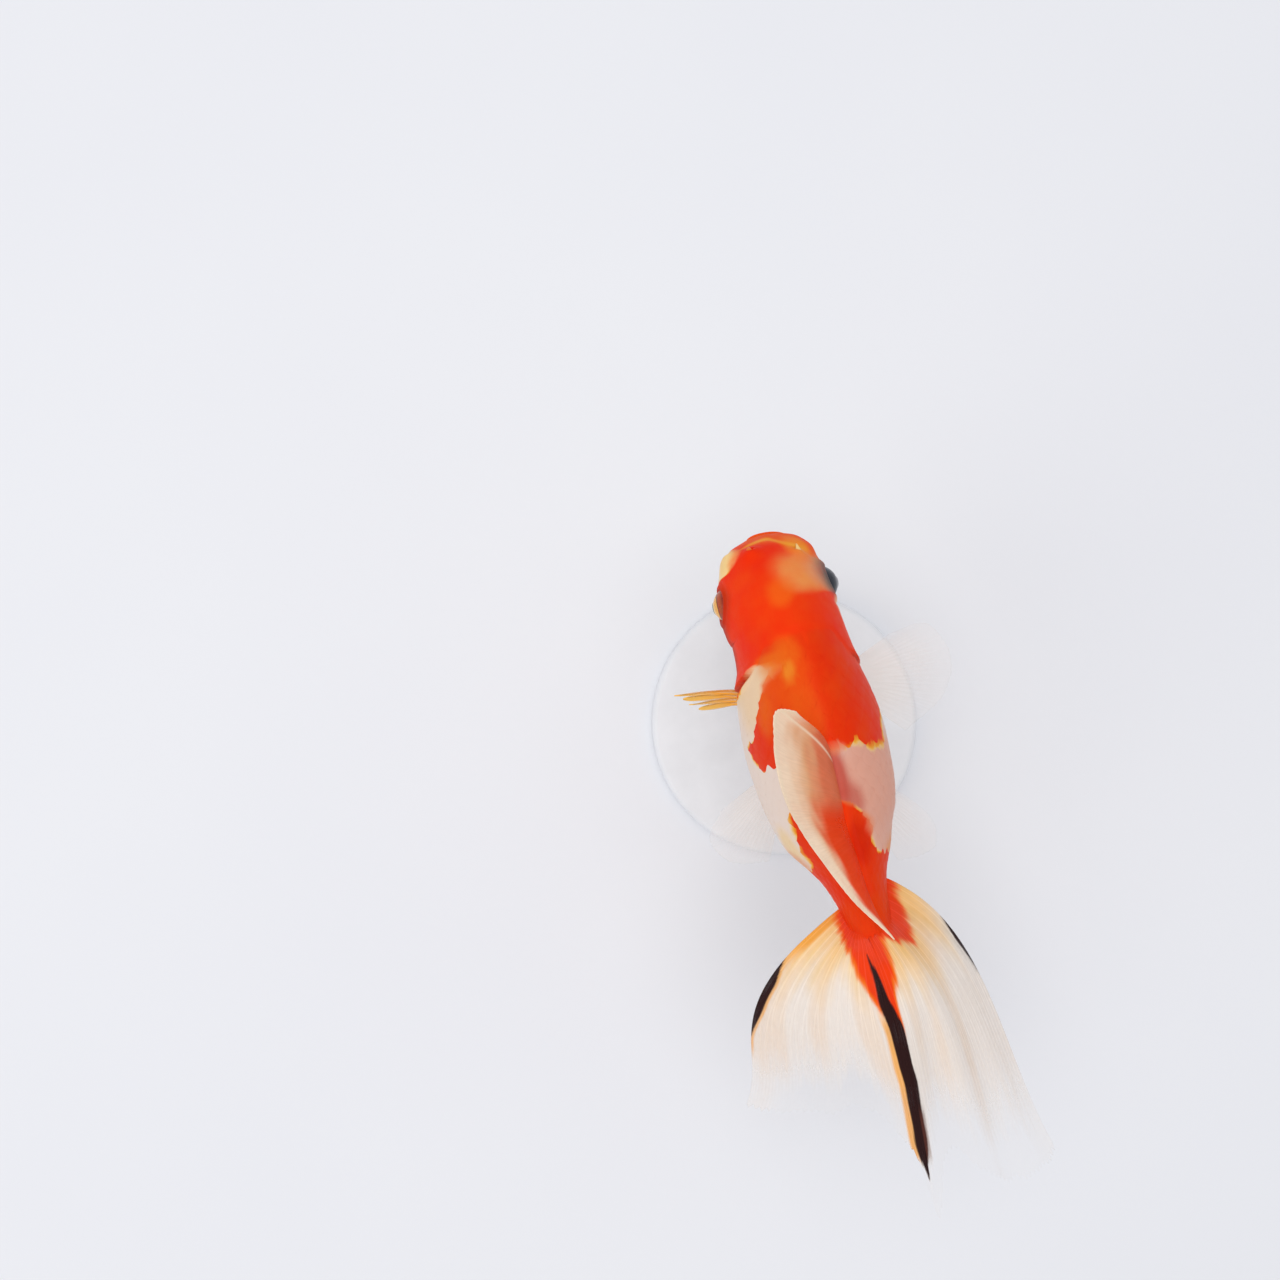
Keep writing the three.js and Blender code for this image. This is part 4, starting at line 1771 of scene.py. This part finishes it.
@dataclass
class TailHalf(Fin):
    """One half of the twin tail, black along its ridge and its leading edge."""

    side: int = 1
    across_steps: int = 168
    along_steps: int = 96
    root_half: float = 0.42
    root_swell: float = 0.25
    ragged: float = 0.04
    stripe_half: float = 1.03
    ridge_amber: float = 0.75
    edge_ink: float = 1.1
    ink_blur: float = 0.12
    edge_first: float = 0.16
    edge_last: float = 0.58
    edge_amber: float = 0.95
    root_fire: float = 0.045
    finger: float = 0.0
    finger_centre: float = 0.62

    def tint(self, place: FinPlace) -> Tint:
        """Cream web, fading to the margin, with amber, red and ink laid over it.

        Args:
            place: the place on the fin.

        Returns:
            The colour with its opacity.
        """
        u, v = place.across, place.along
        flutter = noise.noise(Vector((u * 22, v * 7, len(self.name))))
        fold = noise.noise(Vector((u * 7 + v, v * 0.9, 5.0 + self.side)))
        veil = ease(0.0, 0.37, v + 0.06 * flutter - 0.08 * fold)
        web = mingle(Paint.STRAW.linear, Paint.VEIL.linear, veil)
        web = mingle(web, Paint.CREAM.linear, 0.3 * ease(0.05, 0.4, fold))
        web = mingle(web, Paint.AMBER.linear, 0.3 * ease(0.3, 0.1, v) * (self.side < 0))
        cover = 0.93 - 0.2 * ease(0.06, 0.45, v) - 0.72 * ease(0.42, 0.94, v + 0.06 * flutter) + 0.08 * fold
        cover += 0.12 * ease(0.78, 0.98, u) * ease(0.5, 0.8, v)
        layers = (
            (Paint.AMBER, 0.85 * self._amber(place, flutter), 0.94),
            (Paint.ORANGE, self._fire(place, flutter, 0.5), 0.97),
            (Paint.SCARLET, 0.86 * self._fire(place, flutter, 0.0), 0.97),
            (Paint.INK, self._ink(place, flutter), 0.98),
            (Paint.BARK, 0.55 * self._bark(place), 0.9),
        )
        for paint, share, solid in layers:
            web = mingle(web, paint.linear, share)
            cover += (solid - cover) * share
        return (*web, min(max(cover, 0.03), 1.0))

    def _off_stripe(self, place: FinPlace) -> float:
        """Distance to the left of the middle of the stripe, which lies a little left of the ridge.

        Args:
            place: the place on the fin.

        Returns:
            Distance in millimetres.
        """
        ridge = place.first_along
        lean = 0.22 + 0.27 * ease(0.5, 0.42, ridge) + 0.81 * ease(0.33, 0.19, ridge)
        return self.side * place.from_first - lean

    def _stripe_width(self, along: float) -> float:
        """Half width of the ridge's black stripe, pointed at both ends."""
        return self.stripe_half * ease(0.05, 0.32, along) ** 0.6 * (1 - ease(0.68, 0.85, along)) ** 0.8

    def _fire(self, place: FinPlace, flutter: float, grow: float) -> float:
        """Share of red: the whole root, a finger along the ridge and one on the lobe.

        Args:
            place: the place on the fin.
            flutter: a little noise for the edges.
            grow: millimetres added all round, for the orange under the red.

        Returns:
            A share from 0 to 1.
        """
        u, v, ridge = place.across, place.along, place.first_along
        reach = self.root_fire * (1 - 1.3 * ease(0.05, 0.4, u) * (self.side > 0))
        reach += self.finger * bell(u - self.finger_centre, 0.17) + 0.012 * grow
        root = inside(reach, v + 0.035 * flutter, 0.02)
        width = 2.3 - 2.1 * ease(0.1, 0.33, ridge) + grow
        centre = inside(width, abs(self._off_stripe(place) + 0.4) + 0.5 * flutter, 0.3)
        return max(root, centre * ease(0.36, 0.3, ridge))

    def _amber(self, place: FinPlace, flutter: float) -> float:
        """Share of amber: left of the ridge's stripe, and along the leading edge.

        Args:
            place: the place on the fin.
            flutter: a little noise for the edges.

        Returns:
            A share from 0 to 1.
        """
        v, ridge = place.last_along, place.first_along
        strip = self._off_stripe(place) - self._stripe_width(ridge)
        beside = inside(self.ridge_amber, strip, 0.25) * ease(0.2, 0.3, ridge)
        beside *= ease(0.79, 0.73, ridge) if self.side > 0 else 0.0
        edge = ease(self.edge_amber + 0.5, self.edge_amber - 0.6, place.from_last + 0.9 * flutter)
        edge *= ease(self.edge_first + 0.14, self.edge_first - 0.06, v)
        inner = ease(0.4, 0.15, abs(place.from_last - self._edge_width(v) - 0.1))
        inner *= ease(self.edge_last + 0.12, self.edge_last, v) * ease(0.0, 0.2, v)
        return max(beside, max(edge, 0.85 * inner) if self.edge_amber else 0.0)

    def _ink(self, place: FinPlace, flutter: float) -> float:
        """Share of black: the ridge's stripe and the leading edge's.

        Args:
            place: the place on the fin.
            flutter: a little noise for the edges.

        Returns:
            A share from 0 to 1.
        """
        off = abs(self._off_stripe(place)) + 0.15 * flutter
        stripes = ((self._stripe_width(place.first_along), off),
                   (self._edge_width(place.last_along), place.from_last))
        return max(inside(width, away, self.ink_blur) if width > self.ink_blur / 2 else 0.0
                   for width, away in stripes)

    def _edge_width(self, along: float) -> float:
        """Width of the black along the leading edge."""
        swell = ease(self.edge_first, self.edge_first + 0.12, along)
        return self.edge_ink * swell * ease(self.edge_last, self.edge_last - 0.2, along)

    def _bark(self, place: FinPlace) -> float:
        """Share of brown where the stripe thins on the right of the ridge.

        Args:
            place: the place on the fin.

        Returns:
            A share from 0 to 1.
        """
        v = place.first_along
        there = ease(0.56, 0.62, v) * ease(0.8, 0.74, v)
        off = self._off_stripe(place)
        return there * ease(-0.35, -0.55, off) * ease(-1.5, -1.2, off)


@dataclass
class DorsalFin(Fin):
    """The sail on the back: salmon at the root, cream at the margin."""

    across_steps: int = 96
    along_steps: int = 60

    def tint(self, place: FinPlace) -> Tint:
        """Salmon to cream outward, thin in front of the first ray and at the rear root.

        Args:
            place: the place on the fin.

        Returns:
            The colour with its opacity.
        """
        u, v = place.across, place.along
        flutter = noise.noise(Vector((u * 9, v * 9, 1.7)))
        web = mingle(Paint.SALMON.linear, linear_colour(0xECAF80), ease(0.25, 0.6, v + 0.1 * flutter))
        web = mingle(web, linear_colour(0xFDE0C2), ease(0.5, 0.9, v + 0.1 * flutter))
        # Painted highlight: a pale line along the fold by the front ray and a pale band at the margin.
        fold = bell(u - 0.1, 0.014) + 0.7 * ease(0.92, 0.98, v)
        web = mingle(web, linear_colour(0xFBE6C8), min(fold, 1.0) * 0.8)
        cover = 0.86 + 0.1 * ease(0.0, 0.5, v)
        cover -= 0.3 * ease(0.1, 0.07, u) * ease(0.95, 0.75, v)
        reach = 0.2 * ease(0.55, 0.9, u)
        red = ease(0.36, 0.5, u) * ease(0.72, 0.44, v - reach + 0.12 * flutter)
        web = mingle(web, mingle(Paint.SCARLET.linear, Paint.ORANGE.linear, 0.25), 0.96 * red)
        return (*web, cover - 0.36 * red)


@dataclass
class AmberFin(Fin):
    """A narrow fin of strong amber rays."""

    def reach(self, across: float) -> float:
        """How much of the full ray shows: each ray ends in a point of its own."""
        gap = abs((across * self.finish.rays) % 1.0 - 0.5) * 2
        return 1 - 0.42 * gap**1.6

    def tint(self, place: FinPlace) -> Tint:
        """Amber, deeper at the root and lighter outward.

        Args:
            place: the place on the fin.

        Returns:
            The colour with its opacity.
        """
        web = mingle(linear_colour(0xFFB53C), linear_colour(0xFFCE6A), ease(0.3, 1.0, place.along))
        off = abs((place.across * self.finish.rays) % 1.0 - 0.5)
        web = mingle(web, Paint.BARK.linear, 0.2 * bell(off - 0.4, 0.1))
        gap = 0.3 * ease(0.6, 1.0, place.along) * ease(0.15, 0.4, off)
        return (*web, 0.5 + 0.45 * bell(off, 0.26) - gap)


@dataclass
class FinSet:
    """All the fins of the fish."""

    form: BodyForm

    def build(self) -> None:
        """Builds every fin."""
        for fin in self.fins():
            fin.build()

    def on_skin(self, grow: float, *pairs: tuple[float, float]) -> Spline:
        """Line along the skin through (station, turn) pairs."""
        return Spline([self.form.skin(station, turn, grow) for station, turn in pairs])

    @staticmethod
    def through(*points: tuple[float, float, float]) -> Spline:
        """Line through points."""
        return Spline([Vector(point) for point in points])

    def fins(self) -> list[Fin]:
        """The fins with their forms and finishes."""
        pairs = (*self.tail(), *self.pectorals(), *self.pelvics(), self.anal(1), self.anal(-1))
        return [self.dorsal(), *pairs]

    def dorsal(self) -> Fin:
        """The sail on the back, which leans to the left.

        Returns:
            The fin.
        """
        top = math.pi / 2
        form = FinForm(
            self.on_skin(-0.6, (37, top - 0.08), (41.5, top - 0.07), (47, top - 0.04), (53, top),
                         (58.5, top)),
            self.through((4.7, -7.4, 73.6), (7.4, -8.3, 74.2), (8.9, -3.5, 74.2), (8.6, 4.5, 71.5),
                         (7, 11.5, 68), (3.9, 18.2, 64), (0.6, 24.4, 61.6), (-2.6, 29.4, 60.4)),
            (-0.2, -1.1, 1.3), (0, 0.6, 0.6), (1, 0, 0), 0.3, 2.5)
        finish = WebFinish("dorsal_web", 18, ray_share=0.04, ray_cover=0.0, raise_rays=0.0)
        return DorsalFin("dorsal_sail", form, finish, ("dorsal_fin",), ray_height=0.003)

    def tail(self) -> list[Fin]:
        """The two halves of the tail.

        Returns:
            Both halves.
        """
        left = FinForm(
            self.on_skin(-0.9, (63.2, 1.0), (63.3, 0.65), (62.6, 0.2), (59.5, -0.35)),
            self.through((-0.6, 77.9, 47), (1.4, 64.4, 50), (6.4, 57.2, 48.4), (12.6, 58.4, 42.6),
                         (19, 59.8, 35.6), (25.1, 59.6, 30)),
            (-1, 0, 2.4), (7.9, -0.5, 3), (0.25, 0, 0.97), 0.9, 2)
        right = FinForm(
            self.on_skin(-0.9, (63.2, 1.0), (63.4, 1.8), (62.6, 2.7), (56.6, math.pi + 0.3)),
            self.through((-0.4, 77.9, 47), (-5, 67.8, 46.4), (-10.6, 74.4, 41.8), (-15.8, 79.8, 37),
                         (-20.4, 79.8, 34), (-24.6, 78.6, 31.4)),
            (-1, 0, 2.4), (-3.8, -4.2, 3), (-0.25, 0, 0.97), 0.9, 2.5)
        nodes = [(f"tail_fin_{side}_upper", f"tail_fin_{side}_lower") for side in ("left", "right")]
        return [
            TailHalf("tail_web_left", left, WebFinish("tail_left_web", 14), nodes[0]),
            TailHalf("tail_web_right", right, WebFinish("tail_right_web", 15), nodes[1], side=-1,
                     edge_ink=0.65, edge_first=0.19, edge_last=0.46, edge_amber=0.0, finger=0.07),
        ]

    def pectorals(self) -> list[Fin]:
        """The pair behind the gill covers; the left is amber.

        Returns:
            Both fins.
        """
        left = FinForm(
            self.on_skin(-0.5, (23.2, -0.55), (24.2, -0.64), (25, -0.75)),
            self.through((20.2, -12.1, 38.6), (18.4, -10.7, 35.2), (17.2, -9.1, 31.6), (15.1, -7.3, 28.6)),
            (0, -0.4, 0.8), (0, -0.4, 0.8), (0, 1, 0), 0.3, 2)
        turn = math.pi
        right = FinForm(
            self.on_skin(-0.5, (23.2, turn + 0.5), (24.2, turn + 0.6), (25, turn + 0.72)),
            self.through((-16.8, -13, 37.6), (-23.4, -13.2, 36.6), (-26.4, -7.4, 35), (-24.6, -1, 33.2),
                         (-16.8, 3.8, 31.8)),
            (0, -0.4, 0.9), (0, -0.4, 0.9), (0, 0, 1), 0.4, 2)
        amber = WebFinish("amber_web", 4, ray_paint=Paint.AMBER, ray_share=0.5, ray_cover=0.5)
        return [
            AmberFin("pectoral_web_left", left, amber, ("pectoral_fin_left",), slot="amber_fin",
                     across_steps=96, ray_height=0.12),
            Fin("pectoral_web_right", right, WebFinish("pectoral_web", 13), ("pectoral_fin_right",)),
        ]

    def pelvics(self) -> list[Fin]:
        """The pair under the belly.

        Returns:
            Both fins.
        """
        fins = []
        margins = {
            1: ((16.2, 9.8, 26.6), (19.6, 14.4, 26), (17, 19.4, 24.8), (10.4, 21, 24)),
            -1: ((-14.6, 14.6, 26.6), (-18.6, 20.2, 26), (-18.2, 25.4, 24.8), (-11.6, 26.4, 24)),
        }
        for side, name in ((1, "left"), (-1, "right")):
            middle = 0.0 if side > 0 else math.pi
            pairs = [(35.5 + 1.5 * i, middle - side * (1.22 + 0.03 * i)) for i in range(3)]
            bend = (0.6 * side, 0, -1.6)
            form = FinForm(self.on_skin(-0.5, *pairs), self.through(*margins[side]),
                           bend, bend, (0, 0, 1), 0.3, 2)
            fins.append(Fin(f"pelvic_web_{name}", form, WebFinish(f"pelvic_{name}_web", 9),
                            (f"pelvic_fin_{name}",)))
        return fins

    def anal(self, side: int) -> Fin:
        """One of the twin anal fins; side is 1 on the left.

        Args:
            side: 1 on the left, -1 on the right.

        Returns:
            The fin.
        """
        down = -math.pi / 2
        pairs = [(49.5 + 2.5 * i, down + side * (0.3 + 0.03 * i)) for i in range(3)]
        margin = self.through((side * 3 - 1, 23.4, 28.6), (side * 3.4 - 1.4, 29, 29.4),
                              (side * 2.8 - 1.4, 32.2, 33.4))
        bend = (side * 0.6, 0.6, 0)
        form = FinForm(self.on_skin(-0.5, *pairs), margin, bend, bend, (1, 0, 0), 0.25, 1.5)
        name = "left" if side > 0 else "right"
        return Fin(f"anal_web_{name}", form, WebFinish(f"anal_{name}_web", 8), (f"anal_fin_{name}",),
                   across_steps=48, along_steps=24)


# ---------------------------------------------------------------- eyes and nostril flaps


@dataclass
class Eyes:
    """The two eyes; the left has a red-gold iris and the right is dark."""

    form: BodyForm
    radius: float = 2.94
    around: int = 64
    rings: int = 40
    pupil_rise: float = 0.16
    downward: float = 0.25

    def build(self) -> None:
        """Builds both eyes."""
        finishes = {
            "left": EyeFinish("eye_red_gold", linear_colour(0xF6B04A), linear_colour(0xFBE3A6),
                              linear_colour(0xB24A1C), linear_colour(0x9A2A10)),
            "right": EyeFinish("eye_dark", linear_colour(0x2A3140), linear_colour(0x6B7280),
                               linear_colour(0x232833), linear_colour(0x2A2C33)),
        }
        for seat in EYE_SEATS:
            self._build_eye(seat, finishes[seat.name])

    def _build_eye(self, seat: EyeSeat, finish: EyeFinish) -> None:
        """Builds one eye, its pole looking outward.

        Args:
            seat: where it sits.
            finish: what it is dressed in.
        """
        cut = self.form.slice(seat.station)
        centre = self.form.place(seat.station, seat.out, seat.up)
        look = (cut.side * seat.side - cut.rise * self.downward).normalized()
        bm = bmesh.new()
        gaze = bm.verts.layers.float.new("gaze")
        bmesh.ops.create_uvsphere(bm, u_segments=self.around, v_segments=self.rings, radius=self.radius)
        for vert in bm.verts:
            vert[gaze] = vert.co.z / self.radius
            vert.co *= 1 + self.pupil_rise / self.radius * ease(0.9, 0.97, vert[gaze])
        turned = Vector((0, 0, 1)).rotation_difference(look).to_matrix().to_4x4()
        bmesh.ops.transform(bm, matrix=Matrix.Translation(centre) @ turned, verts=bm.verts)
        finish_piece(f"eyeball_{seat.name}", bm, finish.make(), (f"eye_{seat.name}",))


@dataclass
class NostrilFlaps:
    """The small pale flap of skin that stands at each nostril."""

    form: BodyForm
    station: float = 5.0
    turn: float = 1.02
    length: float = 1.8
    half_width: float = 0.75
    rise: float = 0.45
    half_thick: float = 0.12

    def build(self) -> None:
        """Builds both flaps."""
        material = WebFinish("nostril_web", 4, ray_share=0.1).make()
        for name, turn in (("left", self.turn), ("right", math.pi - self.turn)):
            bm = bmesh.new()
            u_layer, v_layer = grid_shares(bm, 10, 14)
            tint = bm.verts.layers.float_color.new("tint")
            front = thicken(bm)
            radius = self.form.slice(self.station).half
            base = Paint.SCARLET if name == "left" else Paint.ORANGE
            for vert in bm.verts:
                u, v = 2 * vert[u_layer] - 1, vert[v_layer]
                across = u * self.half_width * (1 - v**1.6)
                height = 0.18 + self.rise * math.sin(v * math.pi * 0.62) - 0.25 * u * u
                thick = self.half_thick * (1 - 0.6 * v)
                height += thick if vert in front else -thick
                vert.co = self.form.skin(self.station - self.length * v, turn + across / radius, height)
                tip = Paint.ORANGE if name == "left" else Paint.STRAW
                vert[tint] = opaque(mingle(base.linear, tip.linear, ease(0.0, 0.45, v)))
            bmesh.ops.recalc_face_normals(bm, faces=bm.faces)
            Fin.lay_map(bm, u_layer, v_layer, front)
            finish_piece(f"nostril_flap_{name}", bm, material)


# ---------------------------------------------------------------- stand


@dataclass
class Stand:
    """A round base and the rod that rises from it into the belly."""

    radius: float = 25.0
    height: float = 4.5
    edge: float = 1.2
    edge_steps: int = 6
    bevel: float = 0.4
    seat_bevel: float = 0.3
    foot_bevel: float = 0.2
    seat_radius: float = 1.85
    seat_depth: float = 3.0
    rod_radius: float = 1.5
    rod_foot: float = 1.85
    rod_head: float = 35.05
    steps: int = 128

    def build(self) -> None:
        """Builds base and rod."""
        paint = StandFinish("stand_paint", linear_colour(0xEBECEF), 0.0, (0.42, 0.55), (160, 160, 160))
        steel = StandFinish("stand_steel", linear_colour(0xB9BCC0), 1.0, (0.24, 0.38), (900, 900, 60))
        foot = [(0, 0), (self.radius - self.bevel, 0), (self.radius, self.bevel)]
        rim = []
        for step in range(self.edge_steps + 1):
            angle = math.pi / 2 * step / self.edge_steps
            rim.append((self.radius - self.edge * (1 - math.cos(angle)),
                        self.height - self.edge * (1 - math.sin(angle))))
        seat = [(self.seat_radius + self.seat_bevel, self.height),
                (self.seat_radius, self.height - self.seat_bevel),
                (self.seat_radius, self.height - self.seat_depth), (0, self.height - self.seat_depth)]
        self._turn("stand_base_turned", foot + rim + seat, paint.make(), "stand_base")
        rod = [(0, self.rod_foot), (self.rod_radius - self.foot_bevel, self.rod_foot),
               (self.rod_radius, self.rod_foot + self.foot_bevel),
               (self.rod_radius, self.rod_head - self.bevel),
               (self.rod_radius - self.bevel, self.rod_head), (0, self.rod_head)]
        self._turn("stand_rod_turned", rod, steel.make(), "stand_rod")

    def _turn(self, name: str, profile: list[tuple[float, float]], material: bpy.types.Material,
              node: str) -> None:
        """Spins a profile round the upright axis into a piece.

        Args:
            name: the piece's name.
            profile: radius and height pairs, both ends on the axis.
            material: what it is dressed in.
            node: the CAD node it stands for.
        """
        bm = bmesh.new()
        verts = [bm.verts.new((r, 0, z)) for r, z in profile]
        edges = [bm.edges.new(pair) for pair in zip(verts, verts[1:])]
        bmesh.ops.spin(bm, geom=verts + edges, cent=(0, 0, 0), axis=(0, 0, 1), angle=math.tau,
                       steps=self.steps, use_merge=True)
        bmesh.ops.remove_doubles(bm, verts=bm.verts, dist=1e-4)
        bmesh.ops.recalc_face_normals(bm, faces=bm.faces)
        mark_rims(bm)
        finish_piece(name, bm, material, (node,))


# ---------------------------------------------------------------- studio


@dataclass
class Studio:
    """Pale floor, soft light and the camera above the fish."""

    floor_size: float = 3.0
    camera_at: tuple[float, float, float] = (0.022698, -0.021725, 0.246)
    camera_turn: float = math.radians(14)
    sensor: float = 36.0
    lens: float = 36.084

    def build(self) -> None:
        """Builds floor, lights and camera."""
        self._floor()
        self._light("soft_box", (0.05, -0.12, 0.9), 0.9, 4.1)
        self._light("side_fill", (0.7, 0.1, 0.5), 0.6, 1.0)
        world = bpy.data.worlds.new("studio")
        bpy.context.scene.world = world
        world.use_nodes = True
        background = world.node_tree.nodes["Background"]
        background.inputs["Color"].default_value = (0.93, 0.95, 1.0, 1.0)
        background.inputs["Strength"].default_value = 0.6
        bpy.context.scene.view_settings.view_transform = "Standard"
        self._camera()

    def _floor(self) -> None:
        """A plain pale floor."""
        bm = bmesh.new()
        bmesh.ops.create_grid(bm, x_segments=1, y_segments=1, size=self.floor_size / 2)
        mesh = take_mesh("floor", bm)
        material, bench, shader = new_material("studio_floor")
        tone = bench.mottled(bench.place(), 6.0, 0.0, 1.0)
        pale = bench.mix(tone, opaque(linear_colour(0xE9EAEE)), opaque(linear_colour(0xECEDF0)))
        bench.feed(shader, Base_Color=pale, Roughness=0.9, Specular_IOR_Level=0.1)
        mesh.materials.append(material)
        floor = add_object("floor", mesh)

    @staticmethod
    def _light(name: str, at: tuple[float, float, float], size: float, power: float) -> None:
        """A square lamp that faces the fish.

        Args:
            name: its name.
            at: its place in metres.
            size: its side.
            power: its power in watts.
        """
        lamp = bpy.data.lights.new(name, "AREA")
        lamp.size = size
        lamp.energy = power
        lamp.color = (1.0, 0.98, 0.96)
        holder = add_object(name, lamp)
        holder.location = at
        aim = Vector((0, 0.02, 0.045)) - Vector(at)
        holder.rotation_euler = aim.to_track_quat("-Z", "Y").to_euler()

    def _camera(self) -> None:
        """A camera that looks straight down, turned so the fish heads up and a little right."""
        data = bpy.data.cameras.new("camera")
        data.sensor_width = self.sensor
        data.lens = self.lens
        data.clip_start = 0.01
        camera = add_object("camera", data)
        right = Vector((-math.cos(self.camera_turn), math.sin(self.camera_turn), 0))
        up = Vector((-math.sin(self.camera_turn), -math.cos(self.camera_turn), 0))
        turned = Matrix((right, up, right.cross(up))).transposed().to_4x4()
        camera.matrix_world = Matrix.Translation(self.camera_at) @ turned
        bpy.context.scene.camera = camera


def main() -> None:
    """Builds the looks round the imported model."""
    logging.basicConfig(level=logging.INFO, format="%(name)s %(message)s")
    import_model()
    form = BodyForm()
    skin = Skin(form, Markings(form), Relief(form))
    skin.build()
    ScaleCoat(skin).build()
    FinSet(form).build()
    Eyes(form).build()
    NostrilFlaps(form).build()
    Stand().build()
    Studio().build()


if __name__ == "__main__":
    main()
